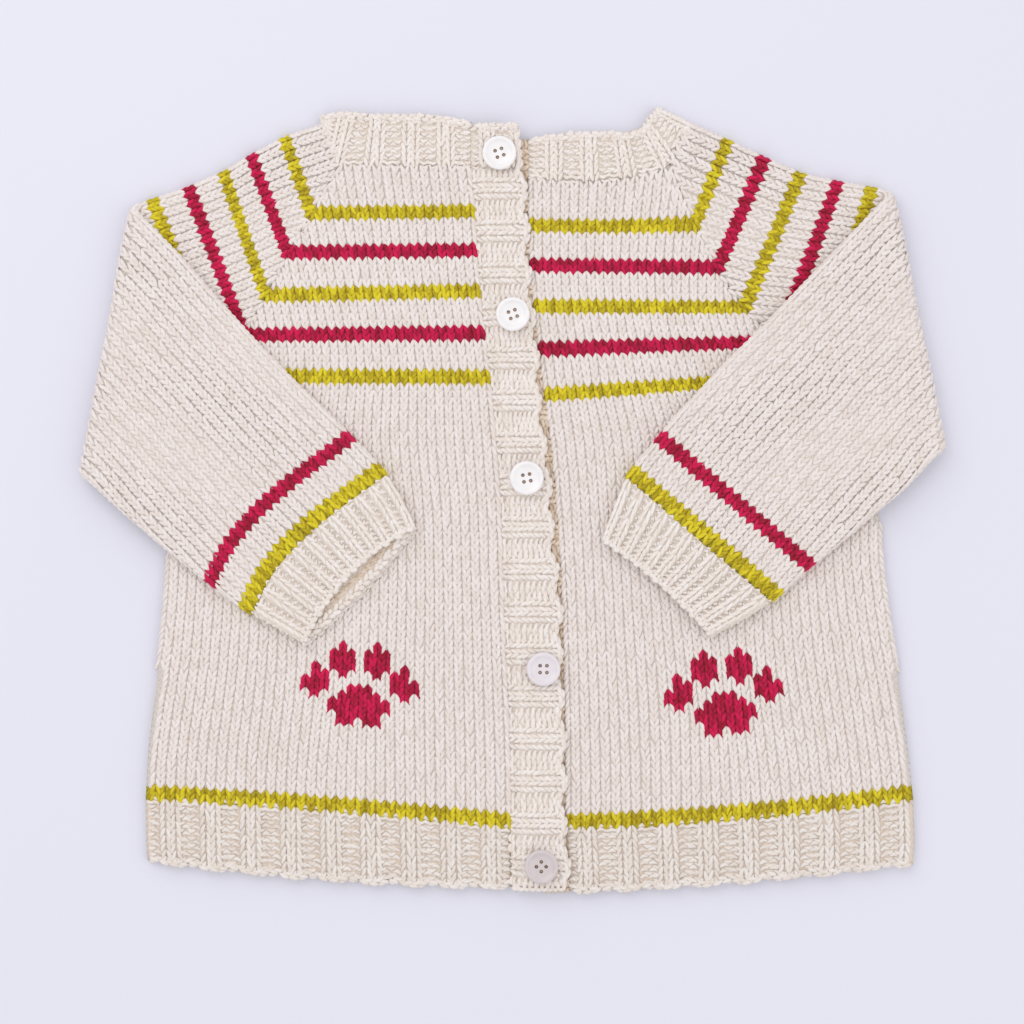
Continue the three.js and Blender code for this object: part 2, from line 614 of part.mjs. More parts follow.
// Cuffs: a ribbed tube that runs on from the sleeve, its edge bowed in the middle of each layer
function addCuff(name, table, bows, frame) {
  const columns = tubeColumns(CUFF_RIBS * RIB_FACETS);
  const sections = places(0, 1, 1 / CUFF_SECTIONS).map((t) => {
    const row = {};
    const indexed = table.map((r, k) => ({ ...r, k: k / (table.length - 1) }));
    for (const key of ["upperX", "upperY", "lowerX", "lowerY"]) {
      row[key] = at(indexed, "k", t, key);
    }
    return {
      t,
      lower: unfolded(row.lowerX, row.lowerY, frame),
      upper: unfolded(row.upperX, row.upperY, frame),
    };
  });
  const run = middleOf(sections[CUFF_SECTIONS]).sub(middleOf(sections[0])).normalize();
  const place = (i, j, depth) => {
    const { point, z } = tubePoint(sections[i], columns[j], depth, false);
    const under = (1 + Math.cos(columns[j].turn)) / 2;
    const edge = 4 * columns[j].w * (1 - columns[j].w) * lerp(bows.upperLayer, bows.lowerLayer, under);
    const reach = lerp(bows.seam * seamBow(columns[j].w), edge, smoothstep(sections[i].t));
    return folded(point.addScaledVector(run, CUFF_SEAM + reach), z, frame);
  };
  addCloth(name, CREAM_RIB, {
    rows: sections.length,
    columns: columns.length,
    outer: (i, j) => place(i, j, furrow(columns[j].w * CUFF_RIBS, 1)),
    inner: (i, j) => place(i, j, CLOTH),
    wraps: true,
  });
}

const SLEEVES = [
  ["right", FRONT_RIGHT, SLEEVE_RIGHT_YOKE, SLEEVE_RIGHT_FOLDED, CUFF_RIGHT, BOWS_RIGHT, FOLD_RIGHT, -1],
  ["left", FRONT_LEFT, SLEEVE_LEFT_YOKE, SLEEVE_LEFT_FOLDED, CUFF_LEFT, BOWS_LEFT, FOLD_LEFT, 1],
];
for (const [side, front, yoke, foldedTable, cuff, bows, fold, outward] of SLEEVES) {
  const frame = foldFrame(fold);
  const sections = sleeveSections(front, yoke, foldedTable, fold, frame, outward);
  addSleeve(`sleeve_${side}`, sections, bows, frame);
  addCuff(`cuff_${side}`, cuff, bows, frame);
}

// Buttonhole band: picked up along the right front, it steps up over the button band
function openingX(table, y) {
  const byHeight = table.map((row) => ({ y: row.openY, x: row.openX }));
  return at(byHeight, "y", y, "x");
}

function bandStations(top, bottom) {
  const ribs = Math.round((top - bottom) / BAND_RIB);
  return places(top, bottom, (top - bottom) / (ribs * RIB_FACETS)).map((y, k) => ({
    y,
    depth: furrow(k / RIB_FACETS, 1),
  }));
}

const upperBand = bandStations(BAND_TOP, BAND_BOTTOM);
function upperBandPoint(i, j, rise) {
  const { y } = upperBand[i];
  const left = openingX(FRONT_RIGHT, y) + 2 * SEAM;
  const right = at(BUTTONHOLE_EDGE, "y", y, "x");
  const x = lerp(left, right, BAND_SECTIONS[j]);
  const step = smoothstep((x - left - RAMP_START) / (RAMP_END - RAMP_START));
  return [x, y, lerp(FRONT_FLOOR, UPPER_FLOOR, step) + rise];
}
addCloth("buttonhole_band", CREAM_RIB, {
  rows: upperBand.length,
  columns: BAND_SECTIONS.length,
  outer: (i, j) => upperBandPoint(i, j, CLOTH - upperBand[i].depth),
  inner: (i, j) => upperBandPoint(i, j, 0),
});

// Button band: picked up along the left front, it lies under the buttonhole band
const lowerBand = bandStations(UNDER_BAND_TOP, UNDER_BAND_BOTTOM);
function lowerBandPoint(i, j, rise) {
  const { y } = lowerBand[i];
  const left = openingX(FRONT_RIGHT, y) + UNDER_BAND_INSET;
  const right = openingX(FRONT_LEFT, y) - 2 * SEAM;
  return [lerp(left, right, j / 2), y, FRONT_FLOOR + rise];
}
addCloth("button_band", CREAM_RIB, {
  rows: lowerBand.length,
  columns: 3,
  outer: (i, j) => lowerBandPoint(i, j, CLOTH - lowerBand[i].depth),
  inner: (i, j) => lowerBandPoint(i, j, 0),
});

// Buttons: turned blanks with a raised rim, drilled with four holes
function solidOf(geometry) {
  geometry.deleteAttribute("normal");
  geometry.deleteAttribute("uv");
  const merged = mergeVertices(geometry, 1e-4);
  const triVerts = new Uint32Array(merged.index.array);
  const vertProperties = merged.attributes.position.array;
  return new wasm.Manifold(new wasm.Mesh({ numProp: 3, vertProperties, triVerts }));
}

function buttonBlank() {
  const profile = BUTTON_PROFILE.map(({ r, z }) => new THREE.Vector2(r, z));
  return solidOf(new THREE.LatheGeometry(profile, BUTTON_FACETS).rotateX(Math.PI / 2));
}

function holeTool(x, y) {
  const drill = new THREE.CylinderGeometry(BUTTON_HOLE_RADIUS, BUTTON_HOLE_RADIUS, 10, BUTTON_HOLE_SIDES);
  return solidOf(drill.rotateX(Math.PI / 2).translate(x, y, 0));
}

BUTTONS.forEach(({ x, y, turn }, k) => {
  let solid = buttonBlank();
  for (const [a, b] of [[1, 1], [-1, 1], [-1, -1], [1, -1]]) {
    solid = solid.subtract(holeTool(a * BUTTON_HOLE_OFFSET, b * BUTTON_HOLE_OFFSET));
  }
  const { vertProperties, triVerts } = solid.getMesh();
  const geometry = new THREE.BufferGeometry();
  geometry.setAttribute("position", new THREE.BufferAttribute(vertProperties, 3));
  geometry.setIndex(new THREE.BufferAttribute(triVerts, 1));
  addMesh(`button_${k + 1}`, geometry, PEARL);
  const button = group.children[group.children.length - 1];
  button.rotation.z = (turn * Math.PI) / 180;
  button.position.set(x, y, BUTTON_FLOOR);
});

// The origin goes to the bottom centre of the whole cardigan
const box = new THREE.Box3().setFromObject(group);
group.position.set(-(box.min.x + box.max.x) / 2, -(box.min.y + box.max.y) / 2, -box.min.z);

export default group;
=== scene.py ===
import bpy
import numpy as np
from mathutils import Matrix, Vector


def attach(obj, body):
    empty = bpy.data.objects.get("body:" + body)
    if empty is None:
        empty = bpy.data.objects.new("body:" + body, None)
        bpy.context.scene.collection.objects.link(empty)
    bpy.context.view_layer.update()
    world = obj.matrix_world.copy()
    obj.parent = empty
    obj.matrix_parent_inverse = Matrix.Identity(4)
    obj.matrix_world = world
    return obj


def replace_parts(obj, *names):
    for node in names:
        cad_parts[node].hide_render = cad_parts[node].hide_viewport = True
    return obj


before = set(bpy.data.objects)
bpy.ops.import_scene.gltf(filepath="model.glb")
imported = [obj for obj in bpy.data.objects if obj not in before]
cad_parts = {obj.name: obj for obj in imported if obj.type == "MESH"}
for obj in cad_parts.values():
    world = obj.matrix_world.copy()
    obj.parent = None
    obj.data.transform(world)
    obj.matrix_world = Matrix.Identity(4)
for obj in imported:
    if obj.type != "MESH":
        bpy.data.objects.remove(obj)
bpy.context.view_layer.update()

# Back: the panel that lies on the surface, in stocking stitch, with its ribbed welt below.
# Four-ply cream wool, knitted from the neck down; two knit rows of yellow-green close it above the welt.
MM = 0.001
PLACE = np.array([-0.318, -4.767, 0.0])  # from the middle of the layout to the row's origin, mm
CLOTH = 2.0
LAYER = 2.3  # from one layer's underside to the next
FRONT_FLOOR = LAYER
UPPER_FLOOR = 2 * LAYER
TUBE_TOP = LAYER + CLOTH
PILE = 0.5  # the stitches stand this far above the ground of the cloth
UNDERARM_ROW = 40
ROW_PITCH = 2.45
HEM_ROW = 94
LAST_ROW = 103
CREAM = ((0.86, 0.785, 0.755), (0.785, 0.695, 0.64))
RIB_CREAM = ((0.89, 0.82, 0.78), (0.82, 0.73, 0.66))  # the ribs look a little yellower
# the welt's cream is darker than that of the other ribs: painted shade towards the bottom
WELT_CREAM = ((0.85, 0.785, 0.74), (0.76, 0.67, 0.60))
# painted shade: cream yarn tinted tan where one layer of a band or cuff shades the other
SHADED_CREAM = ((0.82, 0.69, 0.56), (0.64, 0.48, 0.35))  # between the layers of the bands and cuffs
# grounds: the cloth between the stitches, darker and warmer than its yarn: partly the yarn deeper in the cloth,
# partly painted shade in the gaps; the tan of the rib and welt grounds is painted shade
CREAM_GROUND = ((0.84, 0.765, 0.72), (0.745, 0.66, 0.59))
RIB_GROUND = ((0.86, 0.78, 0.71), (0.76, 0.66, 0.57))
WELT_GROUND = ((0.81, 0.715, 0.62), (0.69, 0.57, 0.47))
CRIMSON = ((0.66, 0.003, 0.080), (0.26, 0.0, 0.016))
YELLOW_GREEN = ((0.76, 0.63, 0.02), (0.36, 0.26, 0.002))
STRIPES = {6: 2, 7: 2, 12: 1, 13: 1, 18: 2, 19: 2, 24: 1, 25: 1, 30: 2, 31: 2}
HEM_STRIPES = {92: 2, 93: 2}
# knit row, side edge x and y, opening edge x and y, sag of the row between them
FRONT_RIGHT = np.array([
    (0, -62.6, 124.6, -14.8, 124.2, 0), (7, -72.4, 107.3, -13.3, 108.0, 0),
    (13, -81.0, 93.2, -12.6, 94.0, 0), (19, -88.9, 77.8, -11.5, 79.2, 0),
    (25, -96.5, 63.4, -9.7, 64.1, 0), (31, -105.0, 48.7, -7.9, 48.2, 0),
    (40, -120.2, 26.3, -5.8, 25.6, 0), (50, -122.8, 2.2, -4.0, -0.4, 0),
    (60, -124.6, -22.0, -3.2, -26.3, 0), (75, -127.8, -58.7, -1.6, -65.9, 0),
    (85, -130.7, -82.1, -0.7, -91.1, -0.5), (94, -132.1, -103.7, -0.4, -114.1, -1),
    (97, -132.1, -111.2, -0.3, -121.3, 0.4), (100, -131.9, -118.8, -0.1, -128.5, 1.2),
    (103, -131.4, -126.1, 0.0, -135.7, 2.0)])
FRONT_LEFT = np.array([
    (0, 57.6, 123.8, 5.8, 119.8, 3), (7, 65.9, 103.3, 6.1, 103.0, 0.5),
    (13, 74.2, 87.8, 6.5, 88.6, 0), (19, 83.9, 73.4, 7.9, 73.8, 0),
    (25, 96.5, 61.2, 9.7, 58.3, 0), (31, 109.1, 49.0, 11.9, 41.8, 0),
    (40, 126.4, 31.7, 14.4, 22.3, 0), (50, 131.4, 6.1, 16.6, -2.9, 0),
    (60, 133.9, -19.1, 18.0, -28.1, 0), (75, 138.9, -57.2, 19.1, -68.0, 0),
    (85, 142.1, -81.0, 19.4, -92.2, 1), (94, 144.7, -103.7, 19.4, -114.1, 2),
    (97, 145.1, -111.5, 19.8, -121.7, 1.9), (100, 145.2, -119.4, 20.2, -129.4, 1.7),
    (103, 144.7, -127.1, 20.5, -137.3, 1.5)])
BACK_SAG = np.array([(0, 0.6), (40, 4), (60, 6), (94, 9.5), (103, 8.5)])


def along(keys, values, place):
    """Value at a place between a table's rows: a cubic through them, whose slope at each row is
    that of the line between its two neighbours."""
    keys, values = np.asarray(keys, float), np.asarray(values, float)
    if keys[-1] < keys[0]:
        keys, values = keys[::-1], values[::-1]
    slope = np.empty_like(values)
    slope[1:-1] = (values[2:] - values[:-2]) / (keys[2:] - keys[:-2])
    slope[0] = (values[1] - values[0]) / (keys[1] - keys[0])
    slope[-1] = (values[-1] - values[-2]) / (keys[-1] - keys[-2])
    place = np.clip(np.asarray(place, float), keys[0], keys[-1])
    i = np.clip(np.searchsorted(keys, place, side="right") - 1, 0, len(keys) - 2)
    width = keys[i + 1] - keys[i]
    t = (place - keys[i]) / width
    step = t * t * (3 - 2 * t)
    bend = width * t * (1 - t) * ((1 - t) * slope[i] - t * slope[i + 1])
    return values[i] + (values[i + 1] - values[i]) * step + bend


def smoothstep(t):
    """0 below 0, 1 above 1, and 3t^2 - 2t^3 between."""
    t = np.clip(t, 0, 1)
    return t * t * (3 - 2 * t)


class Shade:
    """A socket of a finish's nodes; arithmetic on it adds Math nodes."""

    def __init__(self, finish, socket):
        self.finish, self.socket = finish, socket

    def math(self, operation, *values):
        """The result of a Math node on these values."""
        return self.finish.add("ShaderNodeMath", {"operation": operation}, dict(enumerate(values)))

    def __add__(self, other):
        return self.math("ADD", self, other)

    def __sub__(self, other):
        return self.math("SUBTRACT", self, other)

    def __rsub__(self, other):
        return self.math("SUBTRACT", other, self)

    def __mul__(self, other):
        return self.math("MULTIPLY", self, other)

    __radd__, __rmul__ = __add__, __mul__

    def wave(self):
        """sin(2 pi x)"""
        return self.math("SINE", self * 6.2832)

    def folded(self):
        """|2 fract(x) - 1|"""
        return self.math("ABSOLUTE", self.math("FRACT", self) * 2.0 - 1.0)


class Finish:
    """A material with one Principled surface, whose other nodes come from add()."""

    def __init__(self, name, **constants):
        self.material = bpy.data.materials.new(name)
        self.material.use_nodes = True
        self.nodes, self.links = self.material.node_tree.nodes, self.material.node_tree.links
        self.surface = self.nodes["Principled BSDF"]
        for socket, value in constants.items():
            self.surface.inputs[socket.replace("_", " ")].default_value = value

    def add(self, kind, settings, inputs, output=0):
        """A node of a kind: its settings come first, then the values or links of its sockets."""
        node = self.nodes.new(kind)
        for key, value in settings.items():
            setattr(node, key, value)
        for key, value in inputs.items():
            self.put(node.inputs[key], value)
        return Shade(self, node.outputs[output])

    def put(self, socket, value):
        """Links a socket to a shade, or gives it a plain value."""
        if isinstance(value, Shade):
            self.links.new(value.socket, socket)
        else:
            socket.default_value = value

    def mix(self, factor, low, high):
        """Colour between low and high."""
        low, high = [c if isinstance(c, Shade) else (*c, 1.0) for c in (low, high)]
        return self.add("ShaderNodeMix", {"data_type": "RGBA"}, {0: factor, 6: low, 7: high}, 2)

    def feed(self, socket, value):
        """Puts a shade or a value into a socket of the surface."""
        self.put(self.surface.inputs[socket], value)

    def coordinates(self):
        """Place on the object, in metres."""
        return self.add("ShaderNodeTexCoord", {}, {}, "Object")

    def noise(self, scale, detail=2.0):
        """Cloudy noise over the object, scale clouds to a metre."""
        put = {"Vector": self.coordinates(), "Scale": scale, "Detail": detail}
        return self.add("ShaderNodeTexNoise", {}, put)

    def bump(self, height, strength, distance):
        """Tilts the surface as a relief of this height times distance would."""
        put = {"Strength": strength, "Distance": distance, "Height": height}
        self.feed("Normal", self.add("ShaderNodeBump", {}, put))


def ground_finish(name, colours, relief=0.0006, sheen=0.25):
    """Cloth seen between or away from the raised stitches: its stitches are slanting ripples,
    relief metres high, in the Knit map, where u counts stitches and v counts rows. Its colour
    is deeper in the ripples' hollows: painted shade."""
    finish = Finish(name, Roughness=0.95, Sheen_Weight=sheen, Sheen_Roughness=0.5)
    knit = finish.add("ShaderNodeUVMap", {"uv_map": "Knit"}, {})
    u, v = [finish.add("ShaderNodeSeparateXYZ", {}, {0: knit}, k) for k in (0, 1)]
    legs = (u * 2.0).folded() * -0.5 + ((u.folded() * 0.8) + v).wave() * 0.5
    patch = finish.noise(55.0)
    light, deep = colours
    # painted shade: the colour follows the ripples, deep in their hollows; the cloudy patches are the wool's own
    finish.feed("Base Color", finish.mix(legs * 0.35 + patch * 0.5 + 0.1, deep, light))
    finish.bump(legs + finish.noise(2500.0) * 0.5, 0.9, relief)
    return finish.material


def yarn_finish(name, colours, sheen=0.35):
    """Wool yarn: two plies twisted round each other in the Yarn map, fine fibres over them, and a
    tone that changes a little from stitch to stitch. The colour is lighter over the plies and
    darker between them: painted highlight and shade."""
    finish = Finish(name, Roughness=0.9, Sheen_Weight=sheen, Sheen_Roughness=0.4)
    yarn = finish.add("ShaderNodeUVMap", {"uv_map": "Yarn"}, {})
    t, turn = [finish.add("ShaderNodeSeparateXYZ", {}, {0: yarn}, k) for k in (0, 1)]
    ply = (t * 2.2 + turn * 2.0).wave()
    fibre = finish.noise(2600.0, 3.0)
    tone = finish.add("ShaderNodeAttribute", {"attribute_name": "tone"}, {}, "Fac")
    light, deep = colours
    # ply paints highlight and shade along the twist; the clouds, fibres and tone are the yarn's own colour
    shade = finish.noise(40.0) * 0.3 + fibre * 0.5 + tone * 0.45 + ply * 0.14 + 0.15
    finish.feed("Base Color", finish.mix(shade, deep, light))
    finish.bump(ply * 0.35 + fibre, 0.55, 0.00022)
    return finish.material


GROUND = [ground_finish("cream_ground", CREAM_GROUND), ground_finish("crimson_ground", CRIMSON, 0.0006, 0.0),
          ground_finish("yellow_green_ground", YELLOW_GREEN, 0.0006, 0.0),
          ground_finish("rib_ground", RIB_GROUND, 0.0002), ground_finish("welt_ground", WELT_GROUND, 0.0002),
          ground_finish("shaded_ground", SHADED_CREAM, 0.0002)]
YARN = [yarn_finish("cream_yarn", CREAM), yarn_finish("crimson_yarn", CRIMSON, 0.06),
        yarn_finish("yellow_green_yarn", YELLOW_GREEN, 0.06), yarn_finish("rib_yarn", RIB_CREAM),
        yarn_finish("welt_yarn", WELT_CREAM), yarn_finish("shaded_yarn", SHADED_CREAM)]
RIB, WELT, SHADED = 3, 4, 5  # places of the ribs' yarns in both lists


def knit_object(name, points, loops, sizes, materials, slots, maps, tone=None):
    """A mesh object from points in mm, its faces as one run of corners with a size for each, the
    material of each face and its maps by corner."""
    mesh = bpy.data.meshes.new(name)
    mesh.vertices.add(len(points))
    mesh.vertices.foreach_set("co", ((points + PLACE) * MM).astype(np.float32).ravel())
    mesh.loops.add(len(loops))
    mesh.loops.foreach_set("vertex_index", loops.astype(np.int32))
    mesh.polygons.add(len(sizes))
    starts = np.concatenate([[0], np.cumsum(sizes)[:-1]])
    mesh.polygons.foreach_set("loop_start", starts.astype(np.int32))
    mesh.polygons.foreach_set("material_index", slots.astype(np.int32))
    mesh.polygons.foreach_set("use_smooth", np.ones(len(sizes), bool))
    for material in materials:
        mesh.materials.append(material)
    mesh.update(calc_edges=True)
    for title, values in maps.items():
        mesh.uv_layers.new(name=title).data.foreach_set("uv", values.astype(np.float32).ravel())
    if tone is not None:
        mesh.attributes.new("tone", "FLOAT", "POINT").data.foreach_set("value", tone.astype(np.float32))
    piece = bpy.data.objects.new(name, mesh)
    bpy.context.scene.collection.objects.link(piece)
    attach(piece, "root")
    return piece


def cloth_wall(name, outer, inner, knit, colours, open_from=None, wraps=False):
    """Closed wall of cloth: outer and inner points on the same grid, joined round every edge.
    knit holds the stitch and row of each grid point, colours the yarn of each cell. Where wraps,
    the last column meets the first, and rows below open_from have no cells past that column."""
    rows, columns = outer.shape[:2]
    across = columns if wraps else columns - 1
    filled = np.ones((rows - 1, across), bool)
    if open_from is not None:
        filled[:open_from[0], open_from[1]:] = False
    number = np.arange(rows * columns).reshape(rows, columns)
    r, c = np.nonzero(filled)
    d = (c + 1) % columns
    corners = np.stack([number[r, c], number[r + 1, c], number[r + 1, d], number[r, d]], 1)
    back = corners[:, ::-1] + rows * columns
    padded = np.pad(filled, 1)
    if wraps:
        padded[1:-1, 0], padded[1:-1, -1] = filled[:, -1], filled[:, 0]
    walls = []
    for k, (dr, dc) in enumerate([(0, -1), (1, 0), (0, 1), (-1, 0)]):
        edge = ~padded[r + 1 + dr, c + 1 + dc]
        a, b = corners[edge, k], corners[edge, (k + 1) % 4]
        walls.append(np.stack([b, a, a + rows * columns, b + rows * columns], 1))
    walls = np.concatenate(walls)
    faces = np.concatenate([corners, back, walls])
    slots = np.concatenate([colours[r, c], colours[r, c], np.zeros(len(walls), int)])
    points = np.concatenate([outer.reshape(-1, 3), inner.reshape(-1, 3)])
    p = points[faces]
    volume = (p[:, 0] * (np.cross(p[:, 1], p[:, 2]) + np.cross(p[:, 2], p[:, 3]))).sum()
    if volume < 0:
        faces = faces[:, ::-1]
    p = points[corners]
    used, loops = np.unique(faces.ravel(), return_inverse=True)
    uv = np.concatenate([knit.reshape(-1, 2)] * 2)[faces.ravel()]
    piece = knit_object(name, points[used], loops, np.full(len(faces), 4), GROUND, slots, {"Knit": uv})
    piece["flat_area"] = float(np.linalg.norm(np.cross(p[:, 2] - p[:, 0], p[:, 3] - p[:, 1]), axis=1).sum() / 2e6)
    return piece


def declare_sheet(piece, width, length, stitches=()):
    """Works out the area of a cut width by length in mm, or of the outer face as knitted where
    that is less, and keeps it nowhere.
    """
    area = min(piece["flat_area"], width * length * 1e-6)


def back_place(u, row, z):
    """Point of the back: between the side edges of the fronts at the row, less a parabola of sag."""
    ends = [along(t[:, 0], t[:, k], row) for k in (1, 2) for t in (FRONT_RIGHT, FRONT_LEFT)]
    x = ends[0] + (ends[1] - ends[0]) * u
    y = ends[2] + (ends[3] - ends[2]) * u - 4 * u * (1 - u) * along(BACK_SAG[:, 0], BACK_SAG[:, 1], row)
    return np.stack([x, y, np.broadcast_to(z, x.shape)], -1)


def stripe_cells(rows, columns, stripes):
    """Yarn of each cell of a grid that has one cell a row."""
    yarns = np.array([stripes.get(int(r), 0) for r in rows[:-1]])
    return np.repeat(yarns[:, None], columns, 1)


BACK_CELLS = 72


def make_back(name, node, first, last, stripes):
    """The back's wall from a first to a last row: back_place at u from 0 to 1, at the height of
    its underside and a cloth higher."""
    rows = np.linspace(first, last, int(last - first) + 1)
    u, row = np.meshgrid(np.linspace(0, 1, BACK_CELLS + 1), rows)
    outer, inner = back_place(u, row, 0.0), back_place(u, row, CLOTH)
    for face in (outer, inner):
        face[0, :, 1] -= 0.2
        face[-1, :, 1] += 0.2
    knit = np.stack([u * BACK_CELLS, row], -1)
    piece = cloth_wall(name, outer, inner, knit, stripe_cells(rows, BACK_CELLS, stripes))
    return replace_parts(piece, node)


back = make_back("back_panel", "back", 0, HEM_ROW, STRIPES | HEM_STRIPES)
back_welt = make_back("back_welt", "hem_back", HEM_ROW, LAST_ROW, {})
declare_sheet(back, 277, 238)
declare_sheet(back_welt, 278, 25)

# Fronts: two panels in stocking stitch on the back, from the neckband to the welt, each with a
# crimson paw knitted in. Every stitch is two slanting strands of yarn that meet at its top.
FRONT_STITCHES = {"right": np.array([(0, 14.0), (40, 34.5), (94, 36.5), (103, 36.5)]),
                  "left": np.array([(0, 15.4), (40, 33.0), (94, 34.5), (103, 34.5)])}
FRONTS = {"right": FRONT_RIGHT, "left": FRONT_LEFT}
YARN_WIDTH = 0.80  # half width of a strand of yarn, mm, where stitches are 3.6 mm apart
YARN_HEIGHT = 0.60
PAW = ["....#...#....", "...###.###...", "...###.###...", ".#.###.###.#.", ".##.#...#.##.", "###.......###",
       "###..###..###", ".#..#####..#.", "...#######...", "...#######...", "....#####....", "....##.##...."]
PAW_ROW = {"right": 69, "left": 70}
PAW_FIRST = {"right": 9, "left": 10}  # stitches from the opening edge to the motif
PAW_MIDDLE = {"right": (-56.2, -62.0), "left": (77.4, -65.0)}  # there the knit draws in a little
PAW_DRAW, PAW_REACH = 0.12, (22, 26)
RAGLAN_DEPTH, RAGLAN_WIDTH = 0.45, 3.0  # the soft trough along each raglan seam, mm
HIDDEN_MARGIN = 5.0  # stitches so far inside the outline of what covers them are left out, mm
rng = np.random.default_rng(7)

# one strand: rings along it, closed to a point at both ends
RINGS = np.array([0.0, 0.18, 0.52, 0.80, 1.0])
SWELL = np.array([0.0, 0.78, 1.0, 0.68, 0.0])
SIDES = 6


def strand_pattern():
    """Faces of one strand and the place of each corner along and round it."""
    faces, places = [], []
    number = lambda ring, k: 1 + (ring - 1) * SIDES + k % SIDES
    last = 1 + 3 * SIDES
    for k in range(SIDES):
        low, high, mid = k / SIDES, (k + 1) / SIDES, (k + 0.5) / SIDES
        faces.append([0, number(1, k), number(1, k + 1)])
        places += [(0, mid), (RINGS[1], low), (RINGS[1], high)]
        for ring in (1, 2):
            faces.append([number(ring, k), number(ring + 1, k), number(ring + 1, k + 1), number(ring, k + 1)])
            a, b = RINGS[ring], RINGS[ring + 1]
            places += [(a, low), (b, low), (b, high), (a, high)]
        faces.append([number(3, k), last, number(3, k + 1)])
        places += [(RINGS[3], low), (1, mid), (RINGS[3], high)]
    return faces, np.array(places)


STRAND_FACES, STRAND_PLACES = strand_pattern()


def strands(name, start, middle, end, up, wide, high, yarn, slot="cream_knit"):
    """Yarn strands as one mesh: each runs on the parabola through its start, middle and end, its
    section an ellipse wide by high across the strand and along up, swelling from a point at each
    end. Its tone is random, and its cell of the bake map is its own."""
    count = len(start)
    t = RINGS[None, :, None]
    curve = (start[:, None] * (1 - t) * (1 - 2 * t) + middle[:, None] * 4 * t * (1 - t)
             + end[:, None] * t * (2 * t - 1))
    run = end - start
    side = np.cross(run, up)
    side /= np.linalg.norm(side, axis=1, keepdims=True)
    rise = np.cross(side, run)
    rise /= np.linalg.norm(rise, axis=1, keepdims=True)
    turn = 2 * np.pi * np.arange(SIDES) / SIDES
    wide, high = np.broadcast_to(wide, count), np.broadcast_to(high, count)
    ring = (side[:, None] * (wide[:, None] * np.cos(turn))[..., None]
            + rise[:, None] * (high[:, None] * np.sin(turn))[..., None])
    body = curve[:, 1:4, None] + ring[:, None] * SWELL[None, 1:4, None, None]
    points = np.concatenate([curve[:, :1], body.reshape(count, -1, 3), curve[:, 4:]], 1)
    each = points.shape[1]
    corners = np.concatenate(STRAND_FACES)
    loops = (corners[None] + (np.arange(count) * each)[:, None]).ravel()
    sizes = np.tile([len(f) for f in STRAND_FACES], count)
    slots = np.repeat(yarn, len(STRAND_FACES))
    number = np.arange(count)
    grid = int(np.ceil(np.sqrt(count)))
    cell = np.stack([number % grid, number // grid], 1)[:, None]
    bake = (cell + 0.06 + 0.88 * STRAND_PLACES[None]) / grid
    twist = STRAND_PLACES[None] + rng.random((count, 1, 2))
    tone = np.repeat(rng.uniform(-1, 1, count), each)
    piece = knit_object(name, points.reshape(-1, 3), loops, sizes, YARN, slots,
                        {"Yarn": twist.reshape(-1, 2), "OFBake": bake.reshape(-1, 2)}, tone)
    return piece


def join(*groups):
    """Several groups of strands as one: each of their arrays end to end."""
    return [np.concatenate(p) for p in zip(*groups)]


def knit_legs(place, stitch, row, wide=YARN_WIDTH, reach=(1.45, -0.5), spread=(0.56, 0.03)):
    """Both strands of knit stitches at a surface place(stitch, row, height): each goes from
    reach[0] rows down and spread[0] stitches out, under the next stitches, over its middle, to
    reach[1] and spread[1], where the two meet."""
    parts = []
    count = len(stitch)
    for hand in (-1, 1):
        jog = rng.normal(0, 0.035, (3, count))
        low = place(stitch + 0.5 + hand * spread[0] + jog[0], row + reach[0] + jog[2], -0.5)
        mid = place(stitch + 0.5 + hand * (spread[0] + spread[1]) / 2 + jog[1], row + 0.45 + jog[2], 0.2)
        top = place(stitch + 0.5 + hand * spread[1] + jog[0], row + reach[1] + jog[2], -0.15)
        above = place(stitch + 0.5 + hand * 0.25, row + 0.46, 1.2)
        scale = wide * rng.uniform(0.93, 1.07, count)
        parts.append((low, mid, top, above - mid, scale, np.full(count, YARN_HEIGHT)))
    return join(*parts)


def purl_bumps(place, stitch, row, wide=1.0):
    """The strands of purl stitches that lie across the front: an arch over each stitch, and
    between two arches the bow of the next row's yarn, half a stitch on and lower."""
    parts = []
    count = len(stitch)
    for shift, start, crest, height in ((0.0, 0.72, 0.2, 0.15), (0.5, 0.62, 1.08, 0.0)):
        jog = rng.normal(0, 0.05, (2, count))
        left = place(stitch + shift - 0.05 + jog[0], row + start + jog[1], -0.35)
        mid = place(stitch + shift + 0.5 + jog[0], row + crest + jog[1], height)
        right = place(stitch + shift + 1.05 + jog[0], row + start + jog[1], -0.35)
        above = place(stitch + shift + 0.5, row + crest, 1.2)
        parts.append([left, mid, right, above - mid, wide * rng.uniform(0.7, 0.9, count), np.full(count, 0.6)])
    return join(*parts)


def edge_drop(distance, radius):
    """How far a rounded edge lies below the flat, at a distance in from it."""
    short = np.clip(radius - distance, 0, radius)
    return radius - np.sqrt(radius**2 - short**2)


